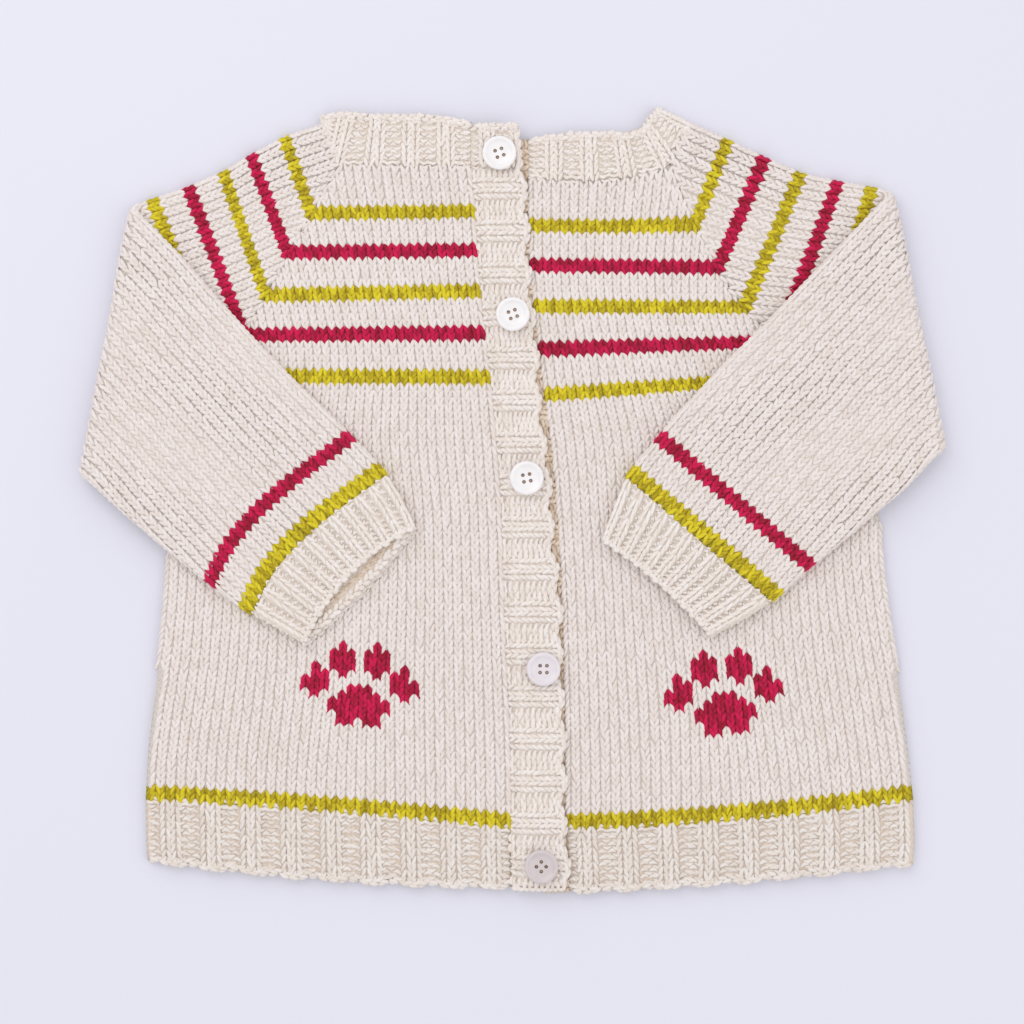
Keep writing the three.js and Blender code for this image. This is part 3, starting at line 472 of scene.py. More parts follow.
def front_place(side):
    """Surface of a front: stitches count from the opening edge, rows from the neck. A point lies on
    the straight line between the table's two edges at its row, less a parabola of sag. It draws in
    on a bell curve at the paw, and sinks on one at the raglan seam and on a circle at its edges."""
    table, stitches = FRONTS[side], FRONT_STITCHES[side]

    def place(stitch, row, height):
        u = stitch / along(stitches[:, 0], stitches[:, 1], row)
        sx, sy, ox, oy, sag = [along(table[:, 0], table[:, k], row) for k in range(1, 6)]
        x, y = ox + (sx - ox) * u, oy + (sy - oy) * u - 4 * u * (1 - u) * sag
        y = y + ROW_PITCH * np.maximum(-row, 0)
        width = np.hypot(sx - ox, sy - oy)
        paw_x, paw_y = PAW_MIDDLE[side]
        draw = np.exp(-((x - paw_x) / PAW_REACH[0])**2 - ((y - paw_y) / PAW_REACH[1])**2)
        x = x - PAW_DRAW * (x - paw_x) * draw
        radius = np.where(row > UNDERARM_ROW, 1.9, 0.2)
        drop = edge_drop((1 - u) * width, radius) + edge_drop(u * width, 0.15)
        raglan = RAGLAN_DEPTH * np.exp(-((1 - u) * width / RAGLAN_WIDTH)**2)
        drop = drop + raglan * smoothstep((UNDERARM_ROW - row) / 12) * smoothstep((row + 1) / 4)
        swell = 0.25 * np.sin(x * 0.09 + 1.3) * np.sin(y * 0.07)
        return np.stack([x, y, TUBE_TOP - PILE - drop + swell + height], -1)

    return place


def paw_yarn(side, stitch, row):
    """1 where the chart of the paw has a stitch in crimson."""
    chart = np.array([[mark == "#" for mark in line] for line in PAW])
    a, b = np.floor(row - PAW_ROW[side]).astype(int), np.floor(stitch - PAW_FIRST[side]).astype(int)
    b = chart.shape[1] - 1 - b if side == "right" else b
    inside = (a >= 0) & (a < chart.shape[0]) & (b >= 0) & (b < chart.shape[1])
    return inside & chart[np.clip(a, 0, chart.shape[0] - 1), np.clip(b, 0, chart.shape[1] - 1)]


def stripe_yarn(row, stripes):
    """Yarn of the stitches at these rows: that of the stripe on the row, or else cream."""
    yarn = np.zeros(len(row), int)
    for line, colour in stripes.items():
        yarn[np.floor(row) == line] = colour
    return yarn


# knit row, folded shoulder edge x and y
YOKES = {
    "right": np.array([(0, -70.0, 139.6), (7, -82.2, 135.3), (13, -94.6, 128.6), (19, -104.2, 122.8),
                       (25, -117.0, 117.4), (31, -130.0, 113.2)]),
    "left": np.array([(0, 66.0, 139.8), (7, 77.9, 134.4), (13, 91.4, 127.8), (19, 104.4, 122.2),
                      (25, 118.0, 119.4), (31, 129.8, 117.5)])}
# upper edge x and y, lower edge x and y, of the sleeve where it lies folded on the front
FOLDED = {
    "right": np.array([(-119.5, 92.9, -139.3, -0.4), (-104.4, 75.6, -127.4, -10.8), (-90.0, 60.1, -118.1, -18.4),
                       (-74.5, 44.3, -110.9, -24.5), (-60.1, 30.2, -104.4, -29.5), (-44.6, 14.0, -93.8, -37.1)]),
    "left": np.array([(121.0, 99.4, 141.5, 9.0), (105.8, 83.5, 129.6, -1.1), (91.1, 68.4, 121.3, -8.3),
                      (75.8, 53.6, 114.5, -14.0), (57.6, 33.8, 108.0, -19.4), (40.6, 12.9, 93.8, -32.4)])}
CUFFS = {
    "right": np.array([(-44.2, 13.5, -93.3, -37.5), (-39.6, 6.1, -86.9, -41.2), (-36.4, -0.2, -80.8, -44.6),
                       (-34.5, -4.8, -75.3, -47.8)]),
    "left": np.array([(40.2, 12.5, 93.2, -33.0), (36.4, 2.5, 85.7, -37.8), (33.8, -4.3, 78.5, -41.8),
                      (32.0, -9.4, 72.4, -45.0)])}
# fold line at the shoulder edge and at the underarm edge, and how those edges run on
FOLDS = {"right": np.array([(-132.8, 112.3), (-151.2, 14.4), (-0.919, -0.394), (-0.965, -0.263)]),
         "left": np.array([(132.8, 117.0), (151.9, 23.4), (0.945, -0.327), (0.98, -0.2)])}


def hidden_by_sleeve(side, x, y, margin):
    """Whether points lie under the folded sleeve and its cuff, more than margin inside its outline."""
    upper = np.concatenate([FOLDS[side][:1], FOLDED[side][:, :2], CUFFS[side][1:, :2]])
    lower = np.concatenate([FOLDS[side][1:2], FOLDED[side][:, 2:], CUFFS[side][1:, 2:]])
    outline = np.concatenate([upper, lower[::-1]])
    a, b = outline, np.roll(outline, -1, 0)
    p = np.stack([x, y], -1)[:, None]
    crosses = ((a[:, 1] > p[..., 1]) != (b[:, 1] > p[..., 1])) & (
        p[..., 0] < a[:, 0] + (b - a)[:, 0] * (p[..., 1] - a[:, 1]) / (b[:, 1] - a[:, 1] + 1e-9))
    inside = crosses.sum(1) % 2 == 1
    t = np.clip(((p - a) * (b - a)).sum(-1) / ((b - a) ** 2).sum(-1), 0, 1)
    distance = np.linalg.norm(p - a - t[..., None] * (b - a), axis=-1).min(1)
    return inside & (distance > margin)


def front_ground(side):
    """The wall of a front under its stitches: its surface, down to the top of the back."""
    place, columns = front_place(side), 72
    rows = np.linspace(0, HEM_ROW, HEM_ROW + 1)
    rows[0] = -0.6  # it runs on under the neckband
    u, row = np.meshgrid(np.linspace(0, 1, columns + 1), rows)
    stitch = u * along(FRONT_STITCHES[side][:, 0], FRONT_STITCHES[side][:, 1], row)
    outer = place(stitch, row, -0.02)
    inner = outer.copy()
    inner[..., 2] = FRONT_FLOOR
    outer[0, :, 2] -= 0.3
    outer[..., 2] = np.maximum(outer[..., 2], FRONT_FLOOR + 0.6)
    for face in (outer, inner):
        face[0, :, 1] += 0.1
        face[-1, :, 1] += 0.05
    yarn = stripe_cells(rows, columns, STRIPES | HEM_STRIPES)
    paw = paw_yarn(side, (stitch[:-1, :-1] + stitch[:-1, 1:]) / 2, row[:-1, :-1] + 0.5)
    yarn[paw] = 1
    piece = cloth_wall(f"front_{side}_ground", outer, inner, np.stack([stitch, row], -1), yarn)
    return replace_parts(piece, f"front_{side}")


def front_stitches(side):
    """Every stitch of the front that no sleeve hides."""
    place = front_place(side)
    stitch, row = [a.ravel() for a in np.meshgrid(np.arange(40.0), np.arange(float(HEM_ROW)))]
    least = np.where(row < UNDERARM_ROW, 0.35, 0.75)  # part of a stitch that lies inside the edge
    keep = stitch + least < along(FRONT_STITCHES[side][:, 0], FRONT_STITCHES[side][:, 1], row + 0.5)
    stitch, row = stitch[keep], row[keep]
    middle = place(stitch + 0.5, row + 0.5, 0.0)
    shown = ~hidden_by_sleeve(side, middle[:, 0], middle[:, 1], HIDDEN_MARGIN)
    stitch, row = stitch[shown], row[shown]
    yarn = stripe_yarn(row, STRIPES | HEM_STRIPES)
    yarn[paw_yarn(side, stitch + 0.5, row + 0.5)] = 1
    legs = knit_legs(place, stitch, row)
    return strands(f"front_{side}_stitches", *legs, np.tile(yarn, 2))


for side, width in (("right", 133), ("left", 128)):
    ground, stitches = front_ground(side), front_stitches(side)
    declare_sheet(ground, width, 240, [stitches])

# Welt: the ribbed bottom of each front, two knit and two purl, cast off along the lower edge.
# The knit columns stand up as ribs and the purl ones sink between them.
RIB_DEPTH = 0.65


def seam_fall(row):
    """How far yarn sinks under a seam, from the first row up."""
    return 0.4 * smoothstep(-row / 0.6)


def rib_fall(stitch, first=0.0, row=2.0):
    """How far the cloth sinks at a stitch of two-by-two rib: 0 on the two knit stitches, full on
    the two purl ones, on a cosine between, growing over the first two rows; and under the seam."""
    purl = smoothstep(0.5 + 0.95 * np.cos(2 * np.pi * (stitch - first - 3) / 4))
    return RIB_DEPTH * smoothstep((row + 0.4) / 2) * purl + seam_fall(row)


def ribbed(place, first=0.0):
    """A surface that sinks at its purl stitches."""
    return lambda stitch, row, height: place(stitch, row, height - rib_fall(stitch, first, row))


def rib_cells(stitches, rows, first=0, under=(-0.6,)):
    """Stitch and row of the knit and of the purl stitches of two-by-two rib, with one more row of
    purl ones under the seam."""
    stitch, found = np.arange(float(stitches)), []
    knit = (stitch - first) % 4 < 2
    for chosen, more in ((stitch[knit], ()), (stitch[~knit], under)):
        found += [a.ravel() for a in np.meshgrid(chosen, np.concatenate([more, np.arange(float(rows))]))]
    return found


def chain_edge(place, stitches, row, wide=0.95, spread=1.0):
    """Cast-off edge: a chain along the last row, each link two strands that slant together, spread
    times as far apart as on a close one."""
    stitch = np.arange(float(stitches))
    groups = []
    for shift, a, b in ((0.0, 0.2 - 0.35 * spread, 0.2), (0.5, 0.2 + 0.35 * spread, 0.2)):
        jog = rng.normal(0, 0.05, (2, len(stitch)))
        start = place(stitch + shift - 0.25 + jog[0], row + a + jog[1], -0.1)
        mid = place(stitch + shift + 0.35 + jog[0], row + (a + b) / 2 + jog[1], 0.45)
        end = place(stitch + shift + 0.95 + jog[0], row + b + jog[1], -0.1)
        above = place(stitch + shift + 0.35, row + (a + b) / 2, 1.6)
        count = len(stitch)
        groups.append([start, mid, end, above - mid, np.full(count, wide), np.full(count, 0.75)])
    return join(*groups)


def shifted(place, row0):
    """The same surface with its rows counted from row0."""
    return lambda stitch, row, height: place(stitch, row + row0, height)


def scalloped(place, rows, first=0.0):
    """A surface whose knit ribs reach out a third of a row further at the last row than its purl
    ones: rows grow by a cosine across the rib, times the square of the part of the way there."""
    return lambda stitch, row, height: place(
        stitch, row + 0.28 * np.cos(np.pi / 2 * (stitch - first - 1)) * np.clip(row / rows, 0, 1)**2, height)


for side, width in (("right", 132), ("left", 126)):
    last = FRONT_STITCHES[side][-1, 1]
    count, rows = int(last), LAST_ROW - HEM_ROW
    place = scalloped(ribbed(shifted(front_place(side), HEM_ROW), 1), rows, 1)
    stitch, row = np.meshgrid(np.linspace(0, last, 2 * count + 1), np.linspace(0, rows, rows + 1))
    outer = place(stitch, row, -0.1)
    inner = outer.copy()
    inner[..., 2] = FRONT_FLOOR
    outer[..., 2] = np.maximum(outer[..., 2], FRONT_FLOOR + 0.5)
    for face in (outer, inner):
        face[0, :, 1] -= 0.05
    knit = np.stack([stitch, row], -1)
    # its yarn and ground are the darker welt cream: painted shade towards the bottom
    welt = cloth_wall(f"welt_{side}_ground", outer, inner, knit, np.full((rows, 2 * count), WELT))
    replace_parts(welt, f"hem_front_{side}")
    knit_s, knit_r, purl_s, purl_r = rib_cells(count, rows, 1)
    groups = join(knit_legs(place, knit_s, knit_r), purl_bumps(place, purl_s, purl_r),
                  chain_edge(place, count, rows - 0.7, 0.85))
    stitches = strands(f"welt_{side}_stitches", *groups, np.full(len(groups[0]), WELT), "cream_rib")
    declare_sheet(welt, width + 2, 24, [stitches])

# Sleeves: knitted down from the raglan seam as a tube, lying flat, and folded over the front just
# below the shoulder, so that the back of each sleeve shows. Stripes as on the yoke, and two above the cuff.
FOLD_HEIGHT = TUBE_TOP + 0.15
FOLD_LENGTH = 7.2
TUBE_ROUND = TUBE_TOP / 2
SLEEVE_ROWS = 88
SLEEVE_STRIPES = STRIPES | {80: 1, 81: 1, 86: 2, 87: 2}
SLEEVE_STITCHES = np.array([(0, 4.3), (40, 24.7), (88, 20.6)])
OUTWARD = {"right": -1.0, "left": 1.0}
SEAM_BOW = {"right": -5.4, "left": 0.0}  # its rows bow so far in the middle, from BOW_START on, mm
BOW_START, BOW_FULL = 55, 80
END_ROW, END_LENGTH = 80.5, 19.7  # from this row on the pitch is even, over this length, mm


def fold_out(side):
    """Unit vector square to the fold line, away from the body."""
    start, end, run = FOLDS[side][:3]
    line = (end - start) / np.linalg.norm(end - start)
    out = np.array([line[1], -line[0]])
    return out * np.sign(out @ run)


def fold_over(side, xy, z):
    """Carries points of the flat sleeve round the fold: past the fold line they turn about a level
    axis, and after half a turn they lie upside down over the front."""
    out = fold_out(side)
    past = (xy - FOLDS[side][0]) @ out
    lever = FOLD_HEIGHT - z
    turn = np.pi * np.clip(past / FOLD_LENGTH, 0, 1)
    rest = np.maximum(past - FOLD_LENGTH, 0)
    offset = np.where(past > 0, lever * np.sin(turn) - rest, past)
    flat = xy + (offset - past)[..., None] * out
    return np.concatenate([flat, (FOLD_HEIGHT - lever * np.cos(turn))[..., None]], -1)


def unfold(side, xy):
    """Where points of the folded sleeve were before it was folded."""
    out = fold_out(side)
    past = (xy - FOLDS[side][0]) @ out
    return xy + (FOLD_LENGTH - 2 * past)[..., None] * out


def edge_path(side, column):
    """Upper (0) or lower (1) edge of the unfolded sleeve as points against knit rows."""
    out, folds = fold_out(side), FOLDS[side]
    run = folds[2 + column]
    turned = [folds[column], folds[column] + run * FOLD_LENGTH / (run @ out)]
    rest = unfold(side, FOLDED[side][:, 2 * column:2 * column + 2])
    if column == 0:
        rows, first = YOKES[side][:, 0], YOKES[side][:, 1:]
    else:
        rows = np.linspace(0, UNDERARM_ROW, 13)
        first = np.stack([along(FRONTS[side][:, 0], FRONTS[side][:, k], rows) for k in (1, 2)], -1)
        first = first + [OUTWARD[side] * 0.12, 0.0]
    above = 2 * first[0] - first[1]
    path = np.concatenate([first[-1:], turned, rest])
    length = np.concatenate([[0], np.cumsum(np.linalg.norm(np.diff(path, axis=0), axis=1))])
    later = np.interp(length, [0, length[-1] - END_LENGTH, length[-1]], [rows[-1], END_ROW, SLEEVE_ROWS])
    last = path[-1] - path[-2]
    beyond = path[-1] + last / np.linalg.norm(last) * 3 * ROW_PITCH
    keys = np.concatenate([[2 * rows[0] - rows[1]], rows, later[1:], [SLEEVE_ROWS + 3]])
    return keys, np.concatenate([[above], first, path[1:], [beyond]])


EDGES = {side: [edge_path(side, k) for k in (0, 1)] for side in ("right", "left")}


def sleeve_edges(side, row):
    """Upper and lower edge of the unfolded sleeve at a row, on straight lines between its points."""
    found = []
    for keys, points in EDGES[side]:
        found.append(np.stack([np.interp(row, keys, points[:, k]) for k in (0, 1)], -1))
    return found


def seam_bow(side, part):
    """How far a sleeve's last rows reach out across it: a parabola, leaning to the underarm edge."""
    return SEAM_BOW[side] * 4 * part * (1 - part) * (0.55 + 0.9 * part)


def last_run(side):
    """Unit vector along the unfolded sleeve at its end."""
    (_, upper), (_, lower) = EDGES[side]
    run = (upper[-1] + lower[-1]) - (upper[-2] + lower[-2])
    return run / np.linalg.norm(run)


def tube_place(side, layer, upper, lower, inward, height, closed):
    """Point of a flat tube: inward mm along its skin from the upper edge, where each edge is round.
    layer is 1 for the front of the sleeve, which lies up until it is folded, and -1 for its back."""
    across = lower - upper
    length = np.linalg.norm(across, axis=-1)
    near = np.clip((TUBE_ROUND - inward) / TUBE_ROUND, 0, None)
    far = np.clip((TUBE_ROUND - (length - inward)) / TUBE_ROUND, 0, None) * closed
    radius = TUBE_ROUND - PILE + height
    turn = near + far
    place = np.where(near > 0, TUBE_ROUND - radius * np.sin(near), inward)
    place = np.where(far > 0, length - TUBE_ROUND + radius * np.sin(far), place)
    xy = upper + across * (place / length)[..., None]
    return fold_over(side, xy, TUBE_ROUND + layer * radius * np.cos(turn))


def sleeve_place(side, layer):
    """Surface of one layer of a sleeve: stitches count from the shoulder edge, rows from the neck."""

    def place(stitch, row, height):
        upper, lower = sleeve_edges(side, row)
        length = np.linalg.norm(lower - upper, axis=-1)
        inward = stitch / np.interp(row, *SLEEVE_STITCHES.T) * length
        swell = 0.3 * np.sin(inward * 0.13 + row * 0.07) * np.sin(row * 0.11 + 0.6)
        growth = smoothstep((row - BOW_START) / (BOW_FULL - BOW_START))
        bow = seam_bow(side, np.clip(inward / length, 0, 1)) * growth
        upper, lower = upper + bow[..., None] * last_run(side), lower + bow[..., None] * last_run(side)
        return tube_place(side, layer, upper, lower, inward, height + swell, row > UNDERARM_ROW)

    return place


def tube_grid(side, upper, lower, columns, closed, reach=lambda part: 0.0):
    """Outer and inner points of a flat tube: front layer from the lower edge, round the upper fold,
    back layer, and round the lower fold. reach(part) moves its points on at a part of the way up."""
    across = lower - upper
    length = np.linalg.norm(across, axis=-1)[:, None]
    w = np.linspace(0, 1, columns + 1)
    arc = np.pi * np.arange(1, 6) / 6
    part = np.concatenate([w, np.ones(5), w[::-1], np.zeros(5)])
    turn = np.concatenate([np.zeros(columns + 1), arc, np.full(columns + 1, np.pi), np.pi - arc])
    edge = np.concatenate([np.zeros(columns + 1), np.ones(5), np.zeros(columns + 1), -np.ones(5)])
    start = np.where(closed, TUBE_ROUND, 0.0)[:, None]
    faces = []
    for radius in (TUBE_ROUND - PILE - 0.02, 0.15):
        flat = start + (length - TUBE_ROUND - start) * part
        place = length - flat - edge * radius * np.sin(turn)
        xy = upper[:, None] + across[:, None] * (place / length)[..., None] + reach(part)
        z = TUBE_ROUND + radius * np.cos(turn)
        faces.append(fold_over(side, xy, np.broadcast_to(z, place.shape)))
    return faces, part


def sleeve_ground(side):
    """The sleeve's wall in one piece, open along the raglan seam down to the underarm."""
    at_fold = np.arange(31, 60, 0.5)
    rows = np.unique(np.concatenate([np.arange(SLEEVE_ROWS + 1.0), at_fold]))
    rows[0] = -0.4  # up to the neckband
    upper, lower = sleeve_edges(side, rows)
    columns = 32
    closed = rows >= UNDERARM_ROW
    lower[closed] += [OUTWARD[side] * 0.4, 0.4]
    growth = smoothstep((rows - BOW_START) / (BOW_FULL - BOW_START))[:, None, None]
    bowed = lambda part: seam_bow(side, 1 - part)[None, :, None] * growth * last_run(side)
    (outer, inner), part = tube_grid(side, upper, lower, columns, closed, bowed)
    stitch = (1 - part)[None] * np.interp(rows, *SLEEVE_STITCHES.T)[:, None]
    knit = np.stack([stitch, np.broadcast_to(rows[:, None], stitch.shape)], -1)
    yarn = np.array([SLEEVE_STRIPES.get(int(r), 0) for r in rows[:-1]])
    yarn = np.repeat(yarn[:, None], outer.shape[1], 1)
    open_from = (np.searchsorted(rows, UNDERARM_ROW), 2 * columns + 6)
    piece = cloth_wall(f"sleeve_{side}_ground", outer, inner, knit, yarn, open_from, True)
    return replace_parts(piece, f"sleeve_{side}")


def sleeve_stitches(side):
    """The front layer down to the fold line, and the back layer from the fold on."""
    groups, yarns = [], []
    for layer in (1, -1):
        place = sleeve_place(side, layer)
        stitch, row = [a.ravel() for a in np.meshgrid(np.arange(-1.0, 26.0), np.arange(-1.0, SLEEVE_ROWS))]
        last = np.interp(row + 0.5, *SLEEVE_STITCHES.T) + np.where(row > UNDERARM_ROW, 0.8, 0.0)
        keep = stitch + 0.5 < last
        stitch, row = stitch[keep], row[keep]
        upper, lower = sleeve_edges(side, row + 0.5)
        part = ((stitch + 0.5) / np.interp(row + 0.5, *SLEEVE_STITCHES.T))[:, None]
        past = (upper + (lower - upper) * part - FOLDS[side][0]) @ fold_out(side)
        middle = place(stitch + 0.5, row + 0.5, 0.0)
        if layer == 1:
            shown = (past < 1.0) & ~hidden_by_sleeve(side, middle[:, 0], middle[:, 1], HIDDEN_MARGIN)
        else:
            shown = past > 0.5
        stitch, row = stitch[shown], row[shown]
        groups.append(knit_legs(place, stitch, row))
        yarns.append(np.tile(stripe_yarn(row, SLEEVE_STRIPES), 2))
    return strands(f"sleeve_{side}_stitches", *join(*groups), np.concatenate(yarns))


# Cuffs: a ribbed tube that draws the sleeve in, one knit and one purl, cast off at its edge. The
# right one's lower layer shows past the upper one, with its wrong side up.
CUFF_STITCHES = 24
KNIT_SHARE = 0.66  # part of each pair of stitches that its knit one takes up
CUFF_ROWS = 8
CUFF_LENGTH = 16.0
# how far the edge of each layer, the lower (1) and the upper (-1), reaches out in its middle, mm
CUFF_BOWS = {"right": {1: 2.0, -1: -5.5}, "left": {1: -2.0, -1: -2.0}}


def cuff_edges(side, t):
    """Upper and lower edge of the unfolded cuff at t from its seam, 0, to its edge, 1."""
    table = CUFFS[side]
    keys = np.linspace(0, 1, len(table))
    found = [np.stack([along(keys, table[:, k + 2 * c], t) for k in (0, 1)], -1) for c in (0, 1)]
    upper, lower = unfold(side, found[0]), unfold(side, found[1])
    ends = unfold(side, table.reshape(-1, 2, 2).mean(1))
    run = ends[-1] - ends[0]
    return upper, lower, run / np.linalg.norm(run)


def cuff_fall(stitch, row):
    """How far the cloth sinks at a stitch of one-by-one rib: 0 on the knit stitch, full on the purl
    one, on a cosine between, growing over the first two rows."""
    purl = smoothstep(0.4 + 0.8 * np.cos(np.pi * (stitch - 1.5)))
    return RIB_DEPTH * smoothstep((row + 0.4) / 2) * purl + seam_fall(row)


def cuff_bow(side, layer, part, t):
    """How far a cuff reaches out: as its seam does at t = 0, and a parabola across the layer at 1."""
    edge = 4 * part * (1 - part) * CUFF_BOWS[side][layer]
    return seam_bow(side, part) + (edge - seam_bow(side, part)) * smoothstep(t)


def cuff_spread(stitch):
    """Where a stitch lies across the rib, in stitches: the knit ones widened, the purl ones drawn
    in, on straight lines between."""
    pair = 2 * np.floor(stitch / 2)
    return pair + 2 * np.interp(stitch - pair, [0, 1, 2], [0, KNIT_SHARE, 1])


def cuff_place(side, layer, inside=False):
    """Surface of one layer of a cuff: stitches count from the shoulder edge, rows from its seam. The
    edge reaches out a little at each knit rib."""

    def place(stitch, row, height):
        stitch, row = np.broadcast_arrays(stitch, row)
        t = np.clip(row / CUFF_ROWS, 0, 1)
        upper, lower, run = cuff_edges(side, t)
        length = np.linalg.norm(lower - upper, axis=-1)
        part = np.clip(cuff_spread(stitch) / CUFF_STITCHES, -0.02, 1.02)
        inward = part * length
        wave = 0.4 * np.cos(np.pi * (stitch - 0.5)) * t**2
        bow = cuff_bow(side, layer, np.clip(part, 0, 1), t)
        reach = 0.1 + wave + (row / CUFF_ROWS - t) * CUFF_LENGTH + bow
        shift = run * reach[..., None]
        up = 0.3 + PILE - TUBE_ROUND - height if inside else height - cuff_fall(stitch, row)
        return tube_place(side, layer, upper + shift, lower + shift, inward, up, True)

    return place


def cuff_ground(side):
    """The cuff's wall, its outer face sunk at the purl stitches and its lower layer drawn out."""
    t = np.linspace(0, 1, 9)
    upper, lower, run = cuff_edges(side, t)
    columns = 4 * CUFF_STITCHES
    shift = np.where(t == 0, -0.35, 0.05)[:, None] * run
    (outer, inner), part = tube_grid(side, upper + shift, lower + shift, columns, t >= 0)
    length = np.linalg.norm(lower - upper, axis=-1)[:, None]
    across = (TUBE_ROUND + (length - 2 * TUBE_ROUND) * (1 - part)) / length
    arc = np.linspace(1, 0, 7)[1:-1]
    under = np.concatenate([np.ones(columns + 1), arc, np.zeros(columns + 1), arc[::-1]])
    out = fold_out(side)
    turned = run - 2 * (run @ out) * out
    bows = [cuff_bow(side, layer, across, t[:, None]) for layer in (-1, 1)]
    slide = bows[0] + (bows[1] - bows[0]) * under
    places = np.linspace(0, CUFF_STITCHES, 6 * CUFF_STITCHES + 1)
    stitch = np.interp(across * CUFF_STITCHES, cuff_spread(places), places)
    for face in (outer, inner):
        face[..., :2] += slide[..., None] * turned
    middle = (outer + inner) / 2
    toward = middle - outer
    toward /= np.linalg.norm(toward, axis=-1, keepdims=True)
    outer += toward * cuff_fall(stitch, CUFF_ROWS * t[:, None])[..., None] * 1.1
    knit = np.stack(np.broadcast_arrays(stitch, CUFF_ROWS * t[:, None]), -1)
    piece = cloth_wall(f"cuff_{side}_ground", outer, inner, knit, np.full((8, outer.shape[1]), RIB), None, True)
    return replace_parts(piece, f"cuff_{side}")


def cuff_stitches(side):
    """Stitches of the upper layer, and on the right cuff the wrong side of the lower one."""
    place = cuff_place(side, -1)
    rows = np.concatenate([[-0.6], np.arange(float(CUFF_ROWS))])
    stitch, row = [a.ravel() for a in np.meshgrid(np.arange(float(CUFF_STITCHES)), rows)]
    knit = stitch % 2 == 0
    ribs = knit & (row >= 0)
    groups = [knit_legs(place, stitch[ribs], row[ribs], 0.76, spread=(0.46, 0.06)),
              purl_bumps(place, stitch[~knit], row[~knit], 0.8),
              chain_edge(place, CUFF_STITCHES, CUFF_ROWS - 0.3, 0.9)]
    yarns = [np.full(len(g[0]), RIB) for g in groups]
    if side == "right":
        wrong_side = cuff_place(side, 1, True)
        shown = [CUFF_ROWS - 3.0, CUFF_ROWS - 2.0]
        stitch, row = [a.ravel() for a in np.meshgrid(np.arange(float(CUFF_STITCHES)), shown)]
        # the wrong side's purl bumps are in the tan yarn: painted shade under the upper layer
        groups.append(purl_bumps(wrong_side, stitch, row, 0.9))
        groups.append(chain_edge(wrong_side, CUFF_STITCHES, CUFF_ROWS - 0.9, 1.0, 1.9))
        groups.append(chain_edge(cuff_place(side, 1), CUFF_STITCHES, CUFF_ROWS - 0.2))
        yarns += [np.full(len(g[0]), yarn) for g, yarn in zip(groups[3:], (SHADED, RIB, RIB))]
    return strands(f"cuff_{side}_stitches", *join(*groups), np.concatenate(yarns), "cream_rib")


for side in ("right", "left"):
    declare_sheet(sleeve_ground(side), 175, 220, [sleeve_stitches(side)])
    declare_sheet(cuff_ground(side), 125, 24, [cuff_stitches(side)])

# Neckband: two-by-two rib picked up round the neck and cast off at its upper edge, folded over at
# each shoulder so that its back half lies under the front half.
# seam x and y, cast-off edge x and y, from the opening to the shoulder fold
NECKS = {
    "right": np.array([(-14.4, 124.9, -14.4, 140.4), (-29.5, 124.9, -29.5, 142.9), (-43.9, 125.0, -43.2, 143.0),
                       (-54.0, 125.1, -51.5, 143.2), (-62.0, 125.4, -57.5, 143.8), (-64.9, 129.8, -61.8, 143.9),
                       (-66.2, 134.0, -64.6, 143.5), (-67.4, 138.0, -66.9, 142.6)]),
    "left": np.array([(5.6, 120.7, 5.6, 134.2), (20.9, 119.6, 20.9, 136.4), (35.3, 120.2, 33.8, 136.8),
                      (47.9, 122.2, 43.6, 136.6), (54.7, 124.3, 47.2, 138.6), (58.9, 127.5, 48.8, 141.2),
                      (61.5, 132.5, 50.4, 143.2), (63.8, 138.4, 51.8, 144.2)])}
NECK_BACK = np.array([
    (-67.4, 138.0, -66.9, 142.6), (-65.0, 130.4, -62.6, 143.4), (-62.4, 125.7, -56.0, 143.2),
    (-48.0, 124.9, -44.0, 142.6), (-25.0, 124.5, -25.0, 141.4), (0.0, 124.1, 0.0, 134.4), (24.0, 124.0, 20.0, 135.4),
    (46.0, 124.2, 38.0, 136.8), (58.4, 125.9, 46.6, 139.0), (61.2, 132.0, 49.8, 142.8), (63.8, 138.4, 51.8, 144.2)])
NECK_PITCH, NECK_STEP = 3.15, 0.8  # of its stitches, and of its wall's cells, mm
NECK_ROWS = 7
NECK_DEPTH = 0.45  # its ribs are this much shallower than the welt's


def band_run(table):
    """Length along the middle of a band at each row of its table."""
    middle = (table[:, :2] + table[:, 2:]) / 2
    return np.concatenate([[0], np.cumsum(np.linalg.norm(np.diff(middle, axis=0), axis=1))])


def neck_place(side):
    """Surface of the front half of the neckband: stitches count from the opening, rows from the
    seam; past the shoulder it turns down round the fold."""
    table = NECKS[side]
    run = band_run(table)

    def place(stitch, row, height):
        s = stitch * NECK_PITCH
        beyond = np.clip((s - run[-1]) / TUBE_ROUND, 0, np.pi)
        v = row / NECK_ROWS
        ends = [along(run, table[:, k], s) for k in range(4)]
        x, y = ends[0] + (ends[2] - ends[0]) * v, ends[1] + (ends[3] - ends[1]) * v
        edge = table[-1, 2:] - table[-1, :2]
        edge = edge / np.linalg.norm(edge)
        out = np.array([edge[1], -edge[0]]) * (1 if side == "left" else -1)
        radius = TUBE_ROUND - PILE + height - NECK_DEPTH * rib_fall(stitch, 2, row)
        x, y = x + out[0] * radius * np.sin(beyond), y + out[1] * radius * np.sin(beyond)
        return np.stack([x, y, TUBE_ROUND + radius * np.cos(beyond)], -1)

    return place


